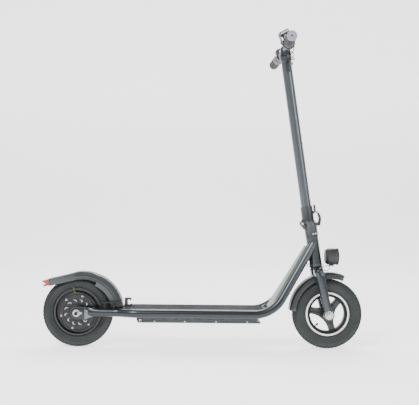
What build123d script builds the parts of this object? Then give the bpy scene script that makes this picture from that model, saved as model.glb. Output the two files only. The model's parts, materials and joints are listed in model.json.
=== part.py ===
from build123d import *
from math import atan2, cos, pi, radians, sin, tan
import os

# Electric kick scooter on 10 inch wheels.
# Frame: +X forward, +Y to the rider's left, +Z up, origin on the ground under the middle of
# the scooter. Millimetres and degrees throughout.

# ---------------------------------------------------------------- driving dimensions
wheel_radius = 127.0
wheelbase = 908.0
rear_x = -451.5
front_x = rear_x + wheelbase

tube_radius = 15.0
tube_wall = 2.5
tube_height = 130.0
deck_half_track = 81.0
stay_half_track = 57.0
leg_bend_x = 250.5
leg_bend_radius = 115.0
leg_top = (402.5, 16.0, 383.0)

rake = 8.65
axis_foot = (415.3, 300.0)
head_bottom, head_top = 9.0, 108.0
head_radius = 22.5
steerer_radius = 15.0
stem_offset = -5.5
stem_radius = 18.7
collar_radius = 22.0
joint_height = 161.0
pivot_ahead, pivot_up = -30.5, 161.9
knuckle_radius = 8.5
stem_top = 778.0

fork_half_track = 52.5
dropout_half_gap = 52.0
bar_center = (289.5, 1087.0)
bar_end = (280.5, 1085.0)
bar_radius = 11.1
grip_radius = 17.5

gap = 0.3
running = 0.05

os.makedirs("parts", exist_ok=True)


# ---------------------------------------------------------------- shared helpers
def save(builder, name):
    """Label a finished piece and write it as one STEP file."""
    builder.part.label = name
    export_step(builder.part, f"parts/{name}.step")


def raked(ahead, side, up):
    """Point given ahead of, left of and up along the raked steering axis."""
    lean = radians(rake)
    return (
        axis_foot[0] + ahead * cos(lean) - up * sin(lean),
        side,
        axis_foot[1] + ahead * sin(lean) + up * cos(lean),
    )


ahead_dir = (cos(radians(rake)), 0, sin(radians(rake)))
up_dir = (-sin(radians(rake)), 0, cos(radians(rake)))


def across(up, ahead=0.0):
    """Plane square to the steering axis; its x is ahead and its y is left."""
    return Plane(origin=raked(ahead, 0, up), x_dir=ahead_dir, z_dir=up_dir)


def side_on(side):
    """Upright plane facing the rider's right; its x is ahead of the axis, its y up along it."""
    return Plane(origin=raked(0, side, 0), x_dir=ahead_dir, z_dir=(0, -1, 0))


def upright(side):
    """Upright plane facing the rider's right, in world X and Z."""
    return Plane(origin=(0, side, 0), x_dir=(1, 0, 0), z_dir=(0, -1, 0))


def spin_plane(x, z, angle=0.0):
    """Radial half plane of a wheel: x is the radius, y is the rider's left."""
    out = (cos(radians(angle)), 0, sin(radians(angle)))
    normal = (-sin(radians(angle)), 0, cos(radians(angle)))
    return Plane(origin=(x, 0, z), x_dir=out, z_dir=normal)


def wheel_axis(x, z=wheel_radius):
    """Axis of a wheel, pointing to the rider's right."""
    return Axis((x, 0, z), (0, -1, 0))


def at_side(x, z, side, facing=-1):
    """Plane at one side of a wheel; facing -1 looks out to the right, 1 to the left."""
    return Plane(origin=(x, side, z), x_dir=(1, 0, 0), z_dir=(0, facing, 0))


rear_axis = wheel_axis(rear_x)
front_axis = wheel_axis(front_x)


# ---------------------------------------------------------------- chassis: tubes and head
def frame_tube(hand):
    """One side of the frame: flattened stay end, deck run, bend and leg up to the head."""
    stay_start = (rear_x + 80, hand * stay_half_track, tube_height)
    stay_bend = (rear_x + 146, hand * stay_half_track, tube_height)
    deck_bend = (rear_x + 204, hand * deck_half_track, tube_height)
    leg_bend = (leg_bend_x, hand * deck_half_track, tube_height)
    leg_end = (leg_top[0], hand * leg_top[1], leg_top[2])
    with BuildPart() as tube:
        with BuildLine() as route:
            FilletPolyline(
                stay_start, stay_bend, deck_bend, leg_bend, leg_end, radius=[70, 70, leg_bend_radius]
            )
        with BuildSketch(Plane(origin=stay_start, x_dir=(0, 1, 0), z_dir=(1, 0, 0))):
            Circle(tube_radius)
            Circle(tube_radius - tube_wall, mode=Mode.SUBTRACT)
        sweep(path=route.wires()[0])
        # the stay end is squeezed flat into a tall paddle that carries the dropout
        with BuildSketch(Plane(origin=stay_start, x_dir=(0, 1, 0), z_dir=(-1, 0, 0))):
            Circle(tube_radius)
        paddle_end = (rear_x + 30, hand * (dropout_half_gap + 4), wheel_radius + 2)
        with BuildSketch(Plane(origin=paddle_end, x_dir=(0, 1, 0), z_dir=(-1, 0, 0))):
            RectangleRounded(7, 39, 3)
        loft()
        # mitre the leg against the head tube, and leave it whole on the outer side
        with BuildSketch(across(head_bottom - 20)):
            Circle(head_radius)
        extrude(amount=head_top - head_bottom + 60, mode=Mode.SUBTRACT)
        with BuildSketch(side_on(-60)):
            with Locations((60, 60)):
                Rectangle(114, 200)
        extrude(amount=-120, mode=Mode.SUBTRACT)
        # dropout plate, slotted for the axle's flats
        with BuildSketch(at_side(rear_x, wheel_radius, hand * dropout_half_gap, hand)):
            Circle(22)
            with Locations((16, 0)):
                Rectangle(32, 44)
            Circle(5, mode=Mode.SUBTRACT)
            with Locations((-12, 0)):
                Rectangle(24, 10, mode=Mode.SUBTRACT)
        extrude(amount=8)
    return tube


frame_tube_right = frame_tube(-1)
frame_tube_left = frame_tube(1)
save(frame_tube_right, "frame_tube_right")
save(frame_tube_left, "frame_tube_left")

with BuildPart() as head_tube:
    with BuildSketch(across(head_bottom)):
        Circle(head_radius)
        Circle(19, mode=Mode.SUBTRACT)
    extrude(amount=head_top - head_bottom)
    with BuildSketch(across(head_bottom - 8)):
        Circle(23.5)
        Circle(17, mode=Mode.SUBTRACT)
    extrude(amount=8)
save(head_tube, "head_tube")

with BuildPart() as headset_bearings:
    for seat in (head_bottom + 1, head_top - 9):
        with BuildSketch(across(seat)):
            Circle(19)
            Circle(steerer_radius + running, mode=Mode.SUBTRACT)
        extrude(amount=8)
save(headset_bearings, "headset_bearings")


# ---------------------------------------------------------------- chassis: deck and battery
deck_rear_x, deck_front_x = -290.0, 232.0
deck_taper_x = -222.0
deck_step_x, deck_nose_half = 176.0, 63.0
mat_top = 145.5
housing_bottom, housing_step, housing_top = 96.5, 113.0, 137.5
housing_rear_x, housing_front_x = -236.5, 197.5
socket_x, socket_z, socket_radius = -222.5, 105.0, 6.5


def deck_outline(half_width, rear_half_width, inset=0.0):
    """Deck outline: full width between the tubes, drawn in where the stays close up."""
    Polyline(
        (deck_rear_x + inset, -rear_half_width),
        (deck_taper_x, -half_width),
        (deck_step_x, -half_width),
        (deck_step_x + 8, -deck_nose_half),
        (deck_front_x - inset, -deck_nose_half),
        (deck_front_x - inset, deck_nose_half),
        (deck_step_x + 8, deck_nose_half),
        (deck_step_x, half_width),
        (deck_taper_x, half_width),
        (deck_rear_x + inset, rear_half_width),
        close=True,
    )


with BuildPart() as deck_plate:
    with BuildSketch(Plane.XY.offset(138)):
        with BuildLine():
            deck_outline(65.5, 44)
        make_face()
    extrude(amount=4)
save(deck_plate, "deck_plate")

with BuildPart() as deck_mat:
    with BuildSketch(Plane.XY.offset(142)):
        with BuildLine():
            deck_outline(70, 46, 1)
        make_face()
    extrude(amount=mat_top - 142)
    chamfer(deck_mat.faces().sort_by(Axis.Z)[-1].edges(), 0.8)
save(deck_mat, "deck_mat")

with BuildPart() as battery_housing:
    length = housing_front_x - housing_rear_x
    middle = (housing_front_x + housing_rear_x) / 2
    with BuildSketch(Plane(origin=(middle, 0, housing_bottom))):
        RectangleRounded(length, 140, 6)
    extrude(amount=housing_step - housing_bottom)
    with BuildSketch(Plane(origin=(middle, 0, housing_step))):
        Rectangle(length - 12, 126)
    extrude(amount=housing_top - housing_step)
    # skid lip along the front edge, then the raked rear edge
    with BuildSketch(upright(66)):
        with BuildLine():
            Polyline(
                (housing_front_x - 4, housing_bottom),
                (housing_front_x + 14, housing_bottom),
                (housing_front_x - 4, housing_bottom + 8),
                close=True,
            )
        make_face()
    extrude(amount=132)
    with BuildSketch(upright(80)):
        with BuildLine():
            Polyline(
                (housing_rear_x - 1, housing_bottom - 1),
                (housing_rear_x + 6, housing_bottom - 1),
                (housing_rear_x - 1, housing_bottom + 13),
                close=True,
            )
        make_face()
    extrude(amount=160, mode=Mode.SUBTRACT)
    with BuildSketch(Plane(origin=(middle, 0, housing_bottom + 2.5))):
        Rectangle(length - 18, 121)
    extrude(amount=60, mode=Mode.SUBTRACT)
    with BuildSketch(at_side(socket_x, socket_z, -80)):
        Circle(socket_radius)
    extrude(amount=-22, mode=Mode.SUBTRACT)
save(battery_housing, "battery_housing")

with BuildPart() as battery_pack:
    with Locations((-50, 0, 118)):
        Box(300, 112, 34)
    fillet(battery_pack.edges().filter_by(Axis.X), 4)
save(battery_pack, "battery_pack")

with BuildPart() as motor_controller:
    with Locations((148, 0, 114)):
        Box(64, 84, 26)
    with BuildSketch(Plane.XY.offset(127)):
        with Locations((148, 0)):
            with GridLocations(0, 12, 1, 7):
                Rectangle(60, 3)
    extrude(amount=5)
save(motor_controller, "motor_controller")

housing_screw_x = (-171.5, -63.5, 48.5, 160.5)
with BuildPart() as housing_screws:
    for hand in (-1, 1):
        for screw_x in housing_screw_x:
            with BuildSketch(at_side(screw_x, 101.5, hand * 70, hand)):
                Circle(2.6)
            extrude(amount=1.5)
save(housing_screws, "housing_screws")

with BuildPart() as charge_socket:
    with BuildSketch(at_side(socket_x, socket_z, -71.5)):
        Circle(socket_radius)
        Circle(4, mode=Mode.SUBTRACT)
    extrude(amount=-9)
    with BuildSketch(at_side(socket_x, socket_z, -71.5 + 9)):
        Circle(socket_radius)
    extrude(amount=-3)
save(charge_socket, "charge_socket")


# ---------------------------------------------------------------- chassis: leg cover
leg_slope = atan2(leg_top[2] - tube_height, leg_top[0] - leg_bend_x)
cover_start, cover_end, cover_crest = 12.0, 272.0, 22.5


def leg_plane(along):
    """Plane square to the frame legs; its x is the rider's left, its y stands off the legs."""
    forward = (cos(leg_slope), 0, sin(leg_slope))
    origin = (leg_bend_x + along * forward[0], 0, tube_height + along * forward[2])
    return Plane(origin=origin, x_dir=(0, 1, 0), z_dir=forward)


with BuildPart() as leg_cover:
    for along, half_width in ((cover_start, 62.0), (cover_end, 17.5)):
        with BuildSketch(leg_plane(along)):
            with BuildLine():
                ThreePointArc((-half_width, 18.4), (0, cover_crest), (half_width, 18.4))
                Line((half_width, 18.4), (half_width, 15.6))
                ThreePointArc((half_width, 15.6), (0, 19.6), (-half_width, 15.6))
                Line((-half_width, 15.6), (-half_width, 18.4))
            make_face()
    loft()
    with BuildSketch(across(0)):
        Circle(head_radius + gap)
    extrude(amount=200, mode=Mode.SUBTRACT)
save(leg_cover, "leg_cover")

# ---------------------------------------------------------------- chassis: stem hook
with BuildPart() as stem_hook:
    with BuildSketch(upright(7)):
        with BuildLine():
            Polyline(
                (-284, mat_top),
                (-258, mat_top),
                (-258, 157),
                (-262, 157),
                (-262, 154),
                (-272, 154),
                (-272, 171),
                (-264, 171),
                (-264, 168),
                (-259, 168),
                (-259, 178),
                (-284, 178),
                close=True,
            )
        make_face()
    extrude(amount=14)
    chamfer(stem_hook.edges().filter_by(Axis.Y).sort_by(Axis.Z)[-2:], 3)
save(stem_hook, "stem_hook")

# ---------------------------------------------------------------- rear wheel and motor
rear_bead, front_bead = 84.0, 77.0
rim_seat_half = 19.0
bead_half = rim_seat_half - 0.4
tread_half = 13.0


def make_tyre(x, bead):
    """Open-beaded tyre carcass, spun about its axle."""
    lip = bead_half - 7
    with BuildPart() as tyre:
        with BuildSketch(spin_plane(x, wheel_radius)):
            with BuildLine():
                Polyline((bead + 5, bead_half), (bead, bead_half), (bead, lip), (bead + 5, lip))
                ThreePointArc((bead + 5, lip), (105, 24), (116, 15))
                ThreePointArc((116, 15), (120, 0), (116, -15))
                ThreePointArc((116, -15), (105, -24), (bead + 5, -lip))
                Polyline((bead + 5, -lip), (bead, -lip), (bead, -bead_half), (bead + 5, -bead_half))
                ThreePointArc((bead + 5, -bead_half), (105, -29), (119, -21))
                ThreePointArc((119, -21), (124.5, -18), (wheel_radius, -tread_half))
                Line((wheel_radius, -tread_half), (wheel_radius, tread_half))
                ThreePointArc((wheel_radius, tread_half), (124.5, 18), (119, 21))
                ThreePointArc((119, 21), (105, 29), (bead + 5, bead_half))
            make_face()
        revolve(axis=wheel_axis(x))
    return tyre


rear_tyre = make_tyre(rear_x, rear_bead)
front_tyre = make_tyre(front_x, front_bead)
save(rear_tyre, "rear_tyre")
save(front_tyre, "front_tyre")

motor_radius = 70.0
axle_radius = 7.0
with BuildPart() as motor_shell:
    with BuildSketch(spin_plane(rear_x, wheel_radius)):
        with BuildLine():
            Polyline(
                (16, 21),
                (60, 21),
                (60, -22),
                (motor_radius, -22),
                (motor_radius, -3),
                (79, -3),
                (79, -15),
                (80, -22),
                (85, -22),
                (85, -rim_seat_half - 0.6),
                (rear_bead - gap, -rim_seat_half),
                (rear_bead - gap, rim_seat_half),
                (85, rim_seat_half + 0.6),
                (85, 22),
                (80, 22),
                (79, 15),
                (79, 3),
                (motor_radius, 3),
                (motor_radius, 25),
                (16, 25),
                close=True,
            )
        make_face()
    revolve(axis=rear_axis)
save(motor_shell, "motor_shell")

screw_count, screw_circle, screw_start = 6, 60.0, 13.0
fin_count, fin_circle = 12, 40.5
with BuildPart() as motor_cover:
    with BuildSketch(at_side(rear_x, wheel_radius, -22)):
        Circle(64)
        Circle(16, mode=Mode.SUBTRACT)
    extrude(amount=5)
    chamfer(motor_cover.edges().filter_by(GeomType.CIRCLE).sort_by(Axis.Y)[0], 1)
    with BuildSketch(at_side(rear_x, wheel_radius, -27)):
        Circle(28)
        Circle(16, mode=Mode.SUBTRACT)
    extrude(amount=3)
    with BuildSketch(at_side(rear_x, wheel_radius, -27)):
        with PolarLocations(fin_circle, fin_count, 15):
            Circle(5.5)
    extrude(amount=2)
    with BuildSketch(at_side(rear_x, wheel_radius, -29)):
        with PolarLocations(fin_circle + 2.2, fin_count, 15 - 3.5):
            Circle(4.6)
    extrude(amount=-2, mode=Mode.SUBTRACT)
    with BuildSketch(at_side(rear_x, wheel_radius, -27)):
        with PolarLocations(screw_circle, screw_count, screw_start):
            Circle(2.2)
    extrude(amount=-5, mode=Mode.SUBTRACT)
save(motor_cover, "motor_cover")

with BuildPart() as motor_bearings:
    for side in (-22, 25):
        with BuildSketch(at_side(rear_x, wheel_radius, side)):
            Circle(16)
            Circle(axle_radius + running, mode=Mode.SUBTRACT)
        extrude(amount=7 if side < 0 else 4)
save(motor_bearings, "motor_bearings")

with BuildPart() as motor_magnets:
    with BuildSketch(at_side(rear_x, wheel_radius, 0)):
        Circle(60)
        Circle(56.5, mode=Mode.SUBTRACT)
    extrude(amount=15, both=True)
save(motor_magnets, "motor_magnets")

with BuildPart() as motor_stator:
    with BuildSketch(at_side(rear_x, wheel_radius, 0)):
        Circle(50)
        with PolarLocations(46, 18):
            Rectangle(19, 9)
        Circle(axle_radius, mode=Mode.SUBTRACT)
    extrude(amount=13, both=True)
save(motor_stator, "motor_stator")

with BuildPart() as rear_axle:
    with BuildSketch(at_side(rear_x, wheel_radius, 0)):
        Circle(axle_radius)
    extrude(amount=dropout_half_gap, both=True)
    with BuildSketch(at_side(rear_x, wheel_radius, 0)):
        Circle(5)
    extrude(amount=dropout_half_gap + 19, both=True)
save(rear_axle, "rear_axle")

with BuildPart() as rear_axle_nuts:
    for hand in (-1, 1):
        with BuildSketch(at_side(rear_x, wheel_radius, hand * (dropout_half_gap + 8), hand)):
            Circle(13)
            with Locations((13, 0)):
                Rectangle(12, 7)
            Circle(5, mode=Mode.SUBTRACT)
        extrude(amount=2)
        with BuildSketch(at_side(rear_x, wheel_radius, hand * (dropout_half_gap + 10), hand)):
            RegularPolygon(11.5, 6)
            Circle(5, mode=Mode.SUBTRACT)
        extrude(amount=8)
save(rear_axle_nuts, "rear_axle_nuts")

# ---------------------------------------------------------------- rear disc brake
disc_side = 33.0
with BuildPart() as brake_disc:
    with BuildSketch(at_side(rear_x, wheel_radius, disc_side - 1)):
        Circle(60)
        Circle(22, mode=Mode.SUBTRACT)
        with PolarLocations(41, 6, 30):
            Rectangle(14, 22, mode=Mode.SUBTRACT)
        with PolarLocations(54, 30):
            Circle(1.8, mode=Mode.SUBTRACT)
    extrude(amount=-2)
    with BuildSketch(at_side(rear_x, wheel_radius, 25, 1)):
        Circle(26)
        Circle(22, mode=Mode.SUBTRACT)
    extrude(amount=disc_side - 1 - 25)
save(brake_disc, "brake_disc")

caliper_angle = 60.0
caliper_reach = 58.0
caliper_x = rear_x + caliper_reach * cos(radians(caliper_angle))
caliper_z = wheel_radius + caliper_reach * sin(radians(caliper_angle))
with BuildPart() as brake_caliper:
    with BuildSketch(at_side(rear_x, wheel_radius, 28, 1)):
        with PolarLocations(caliper_reach, 1, -caliper_angle):
            RectangleRounded(30, 38, 6)
    extrude(amount=30)
    with BuildSketch(at_side(rear_x, wheel_radius, disc_side - 2, 1)):
        Circle(62)
    extrude(amount=4, mode=Mode.SUBTRACT)
    with BuildSketch(at_side(rear_x, wheel_radius, dropout_half_gap + 8, 1)):
        with BuildLine():
            Polyline((-4, -14), (20, -20), (46, -36), (34, -48), (-2, -24), close=True)
        make_face()
    extrude(amount=-8)
    with BuildSketch(at_side(rear_x, wheel_radius, dropout_half_gap, 1)):
        Circle(22.5)
    extrude(amount=10, mode=Mode.SUBTRACT)
    with BuildSketch(at_side(caliper_x, caliper_z, 46, 1)):
        Circle(5 + running)
    extrude(amount=20, mode=Mode.SUBTRACT)
    add(frame_tube_left.part, mode=Mode.SUBTRACT)
save(brake_caliper, "brake_caliper")

with BuildPart() as caliper_arm:
    with BuildSketch(at_side(caliper_x, caliper_z, 47, 1)):
        Circle(5)
    extrude(amount=14)
    with BuildSketch(at_side(caliper_x, caliper_z, dropout_half_gap + 9, 1)):
        Circle(8)
        with Locations(Location((14, -8), -30)):
            Rectangle(36, 8)
    extrude(amount=4)
save(caliper_arm, "caliper_arm")

# ---------------------------------------------------------------- fenders
fender_radius = 147.0
rear_fender_center = (rear_x + 18, wheel_radius - 3)
front_fender_center = (front_x + 8, wheel_radius + 4)


def fender_outline(half_width, skirt):
    """Channel section: crown, rolled shoulders and skirts, of one sheet thickness."""
    crown = fender_radius
    skin = 2.4
    shoulder = crown - 6
    edge = crown - skirt
    Polyline(
        (edge, half_width),
        (shoulder, half_width - 0.8),
        (crown, half_width - 9),
        (crown, 9 - half_width),
        (shoulder, 0.8 - half_width),
        (edge, -half_width),
        (edge, skin - half_width),
        (shoulder - 1, skin + 0.8 - half_width),
        (crown - skin, 9.8 - half_width),
        (crown - skin, half_width - 9.8),
        (shoulder - 1, half_width - skin - 0.8),
        (edge, half_width - skin),
        close=True,
    )


rear_fender_from, rear_fender_to = 10.0, 104.0
tail_length = 92.0
tail_plane = spin_plane(*rear_fender_center, rear_fender_to)
with BuildPart() as rear_fender:
    with BuildSketch(spin_plane(*rear_fender_center, rear_fender_from)):
        with BuildLine():
            fender_outline(37, 25)
        make_face()
    revolve(
        axis=wheel_axis(*rear_fender_center), revolution_arc=rear_fender_to - rear_fender_from
    )
    with BuildSketch(tail_plane):
        with BuildLine():
            fender_outline(37, 25)
        make_face()
    extrude(amount=tail_length)
save(rear_fender, "rear_fender")

with BuildPart() as tail_light:
    with BuildSketch(tail_plane.offset(tail_length)):
        with Locations((fender_radius - 11, 0)):
            Rectangle(22, 66)
    extrude(amount=22)
    with BuildSketch(tail_plane.offset(tail_length + 22)):
        with Locations((fender_radius - 11, 0)):
            Rectangle(11, 80)
    extrude(amount=-9, taper=24, mode=Mode.SUBTRACT)
save(tail_light, "tail_light")

with BuildPart() as fender_bracket:
    # one foot plate each side, on two posts that stand on the stay
    for hand in (-1, 1):
        with BuildSketch(Plane.XY.offset(164)):
            with Locations((-331, hand * 49.5)):
                Rectangle(62, 24)
        extrude(amount=3)
        with BuildSketch(Plane.XY.offset(tube_height + tube_radius)):
            with Locations((-350, hand * stay_half_track), (-318, hand * stay_half_track)):
                Circle(4)
        extrude(amount=164 - tube_height - tube_radius)
save(fender_bracket, "fender_bracket")

front_fender_from, front_fender_to = 69.0, 177.0
with BuildPart() as front_fender:
    with BuildSketch(spin_plane(*front_fender_center, front_fender_from)):
        with BuildLine():
            fender_outline(32, 22)
        make_face()
    revolve(
        axis=wheel_axis(*front_fender_center), revolution_arc=front_fender_to - front_fender_from
    )
    # bolting boss up to the underside of the crown
    with BuildSketch(across(-17)):
        Rectangle(24, 22)
    extrude(amount=-13)
save(front_fender, "front_fender")

# ---------------------------------------------------------------- fork and front wheel
leg_lean = atan2(front_x - raked(0, 0, -20)[0], raked(0, 0, -20)[2] - wheel_radius)
leg_down = (sin(leg_lean), 0, -cos(leg_lean))

with BuildPart() as fork:
    with BuildSketch(Plane(origin=raked(-15, 0, 0), x_dir=(0, 1, 0), z_dir=ahead_dir)):
        with BuildLine():
            Polyline(
                (-26, -2), (-56, -11), (-69, -18), (-69, -31), (-36.5, -31), (-34, -17),
                (34, -17), (36.5, -31), (69, -31), (69, -18), (56, -11), (26, -2), close=True,
            )
        make_face()
    extrude(amount=31)
    fillet(fork.edges().filter_by(lambda edge: edge.length > 30.5 and edge.length < 31.5), 2)
    with BuildSketch(across(-17)):
        Circle(22)
    extrude(amount=17.6)
    for hand in (-1, 1):
        side = hand * fork_half_track
        with BuildSketch(Plane(origin=raked(0, side, -22), x_dir=(0, 1, 0), z_dir=leg_down)):
            Circle(15.5)
        with BuildSketch(Plane(origin=raked(0, side, -22), x_dir=(0, 1, 0), z_dir=leg_down).offset(143)):
            Ellipse(12, 14)
        loft()
        with BuildSketch(at_side(front_x, wheel_radius, side - 22, 1)):
            Circle(18)
        extrude(amount=44, mode=Mode.SUBTRACT)
        # axle lug, with an inner boss that spaces the hub
        with BuildSketch(at_side(front_x, wheel_radius, side + 6 * hand, -hand)):
            Circle(20)
        extrude(amount=12)
        with BuildSketch(at_side(front_x, wheel_radius, side - 6 * hand, -hand)):
            Circle(10)
        extrude(amount=fork_half_track - 6 - 30 - gap)
    with BuildSketch(at_side(front_x, wheel_radius, 0)):
        Circle(6)
    extrude(amount=80, both=True, mode=Mode.SUBTRACT)
save(fork, "fork")

fold_base_bottom, fold_base_top = 114.5, joint_height - gap
with BuildPart() as steerer:
    with BuildSketch(across(0.6)):
        Circle(steerer_radius)
        Circle(12, mode=Mode.SUBTRACT)
    extrude(amount=135)
save(steerer, "steerer")

with BuildPart() as front_axle:
    with BuildSketch(at_side(front_x, wheel_radius, 0)):
        Circle(6)
    extrude(amount=fork_half_track + 16, both=True)
save(front_axle, "front_axle")

with BuildPart() as front_axle_nuts:
    for hand in (-1, 1):
        with BuildSketch(at_side(front_x, wheel_radius, hand * (fork_half_track + 6), hand)):
            Circle(15)
            Circle(6, mode=Mode.SUBTRACT)
        extrude(amount=2)
        with BuildSketch(at_side(front_x, wheel_radius, hand * (fork_half_track + 8), hand)):
            RegularPolygon(13, 6)
        extrude(amount=9)
        with BuildSketch(at_side(front_x, wheel_radius, hand * (fork_half_track + 17), hand)):
            Circle(10)
        extrude(amount=5, taper=35)
        with BuildSketch(at_side(front_x, wheel_radius, 0)):
            Circle(6)
        extrude(amount=fork_half_track + 16, both=True, mode=Mode.SUBTRACT)
save(front_axle_nuts, "front_axle_nuts")

spoke_start = 49.0
with BuildPart() as front_rim:
    with BuildSketch(spin_plane(front_x, wheel_radius)):
        with BuildLine():
            Polyline(
                (64, 15),
                (64, -15),
                (72, -21),
                (81, -21),
                (81, -rim_seat_half - gap),
                (front_bead - gap, -rim_seat_half),
                (front_bead - gap, -12),
                (70, -9),
                (70, 9),
                (front_bead - gap, 12),
                (front_bead - gap, rim_seat_half),
                (81, rim_seat_half + gap),
                (81, 21),
                (72, 21),
                close=True,
            )
        make_face()
    revolve(axis=front_axis)
    # three cast spokes: a disc pierced by three lens-shaped windows
    with BuildSketch(at_side(front_x, wheel_radius, 0)):
        Circle(65)
    extrude(amount=9, both=True)
    with BuildSketch(at_side(front_x, wheel_radius, 0)):
        for turn in (spoke_start + 60, spoke_start + 180, spoke_start + 300):
            with BuildLine(Plane.XY.rotated((0, 0, turn))):
                ThreePointArc((41.5, -47), (26, 0), (41.5, 47))
                ThreePointArc((41.5, 47), (62.7, 0), (41.5, -47))
            make_face()
    extrude(amount=10, both=True, mode=Mode.SUBTRACT)
    with BuildSketch(at_side(front_x, wheel_radius, 0)):
        Circle(22)
    extrude(amount=30, both=True)
    with BuildSketch(at_side(front_x, wheel_radius, 0)):
        Circle(14)
    extrude(amount=30, both=True, mode=Mode.SUBTRACT)
    valve_way = spin_plane(front_x, wheel_radius, 229)
    with BuildSketch(Plane(origin=valve_way.origin, z_dir=valve_way.x_dir).offset(55)):
        Circle(3)
    extrude(amount=15, mode=Mode.SUBTRACT)
save(front_rim, "front_rim")

with BuildPart() as front_bearings:
    for side in (-21, 30):
        with BuildSketch(at_side(front_x, wheel_radius, side)):
            Circle(14)
            Circle(6 + running, mode=Mode.SUBTRACT)
        extrude(amount=9)
save(front_bearings, "front_bearings")


# ---------------------------------------------------------------- folding joint
ear_inner, ear_outer = 10.0, 18.0
pin_radius = 4.0
with BuildPart() as fold_base:
    with BuildSketch(across(fold_base_bottom)):
        Circle(23.5)
    extrude(amount=fold_base_top - fold_base_bottom)
    with BuildSketch(across(head_top + gap)):
        Circle(22)
    extrude(amount=fold_base_bottom - head_top - gap)
    # slot for the stem's knuckle between two hinge ears
    with BuildSketch(side_on(ear_inner)):
        with Locations((pivot_ahead, pivot_up)):
            Circle(knuckle_radius + 1)
    extrude(amount=2 * ear_inner, mode=Mode.SUBTRACT)
    for outer in (-ear_inner, ear_outer):
        with BuildSketch(side_on(outer)):
            with Locations((pivot_ahead, pivot_up)):
                Circle(knuckle_radius)
            with BuildLine():
                Polyline((-39, pivot_up - 1), (-22, fold_base_top), (-16, 140), (-24, 138), close=True)
            make_face()
        extrude(amount=ear_outer - ear_inner)
    with BuildSketch(side_on(30)):
        with Locations((pivot_ahead, pivot_up)):
            Circle(pin_radius)
    extrude(amount=60, mode=Mode.SUBTRACT)
    # front lugs for the lock lever
    for outer in (-7.5, 12):
        with BuildSketch(side_on(outer)):
            with BuildLine():
                Polyline((18, 146), (31, 147.5), (37, 153), (31, 158.5), (18, 159), close=True)
            make_face()
            with Locations((31.6, 153)):
                Circle(2.5, mode=Mode.SUBTRACT)
        extrude(amount=4.5)
    with BuildSketch(across(head_top)):
        Circle(steerer_radius)
    extrude(amount=0.6 + 135 - head_top, mode=Mode.SUBTRACT)
save(fold_base, "fold_base")

lever_pivot = (31.6, 153.0)
with BuildPart() as hinge_pins:
    with BuildSketch(side_on(ear_outer)):
        with Locations((pivot_ahead, pivot_up)):
            Circle(pin_radius)
    extrude(amount=2 * ear_outer)
    for outer, thickness in ((ear_outer + 2, 2), (-ear_outer, 2)):
        with BuildSketch(side_on(outer)):
            with Locations((pivot_ahead, pivot_up)):
                Circle(6)
        extrude(amount=thickness)
    with BuildSketch(side_on(13)):
        with Locations(lever_pivot):
            Circle(2.5)
    extrude(amount=26)
    for outer in (14, -12):
        with BuildSketch(side_on(outer)):
            with Locations(lever_pivot):
                Circle(4.5)
        extrude(amount=2)
save(hinge_pins, "hinge_pins")

collar_top = 220.0
with BuildPart() as stem_collar:
    with BuildSketch(across(joint_height, stem_offset)):
        Circle(24)
    extrude(amount=10)
    chamfer(stem_collar.edges().filter_by(GeomType.CIRCLE).sort_by(Axis.Z)[-1], 2)
    with BuildSketch(across(joint_height, stem_offset)):
        Circle(collar_radius)
    extrude(amount=collar_top - joint_height)
    with BuildSketch(side_on(30)):
        with Locations((pivot_ahead, pivot_up)):
            Circle(knuckle_radius + 1)
    extrude(amount=60, mode=Mode.SUBTRACT)
    with BuildSketch(side_on(ear_inner - gap)):
        with Locations((pivot_ahead, pivot_up)):
            Circle(knuckle_radius)
        with BuildLine():
            Polyline(
                (pivot_ahead - 2, pivot_up + 8), (-26, 181), (-18, 184), (-18, joint_height),
                (pivot_ahead, joint_height), close=True,
            )
        make_face()
    extrude(amount=2 * (ear_inner - gap))
    with BuildSketch(side_on(30)):
        with Locations((pivot_ahead, pivot_up)):
            Circle(pin_radius + running)
    extrude(amount=60, mode=Mode.SUBTRACT)
    with BuildSketch(across(joint_height + 5, stem_offset)):
        Circle(stem_radius)
    extrude(amount=80, mode=Mode.SUBTRACT)
    # pad that the safety catch hinges on
    with BuildSketch(side_on(8)):
        with Locations((18.5, 197)):
            Rectangle(5, 10)
    extrude(amount=16)
    with BuildSketch(across(joint_height + 5, stem_offset)):
        Circle(stem_radius)
    extrude(amount=80, mode=Mode.SUBTRACT)
save(stem_collar, "stem_collar")

with BuildPart() as lock_lever:
    with BuildSketch(side_on(7 - gap)):
        with BuildLine():
            ThreePointArc((35.6, 151), (42, 173), (35, 196))
            Line((35, 196), (28, 196))
            ThreePointArc((28, 196), (33.5, 173), (27.6, 155))
            Line((27.6, 155), (35.6, 151))
        make_face()
        with Locations(lever_pivot):
            Circle(4.6)
        with Locations((31, 196)):
            Circle(4)
    extrude(amount=14 - 2 * gap)
    with BuildSketch(side_on(20)):
        with Locations(lever_pivot):
            Circle(2.5 + running)
    extrude(amount=40, mode=Mode.SUBTRACT)
save(lock_lever, "lock_lever")

catch_pivot = (23.2, 197.0)
with BuildPart() as safety_catch:
    with BuildSketch(side_on(7)):
        with Locations(catch_pivot):
            Circle(2.2)
        with BuildLine():
            Polyline((21.3, 197), (21.3, 221), (24, 224), (26.5, 222), (26.5, 204), (25.2, 197), close=True)
        make_face()
    extrude(amount=14)
save(safety_catch, "safety_catch")

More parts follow.
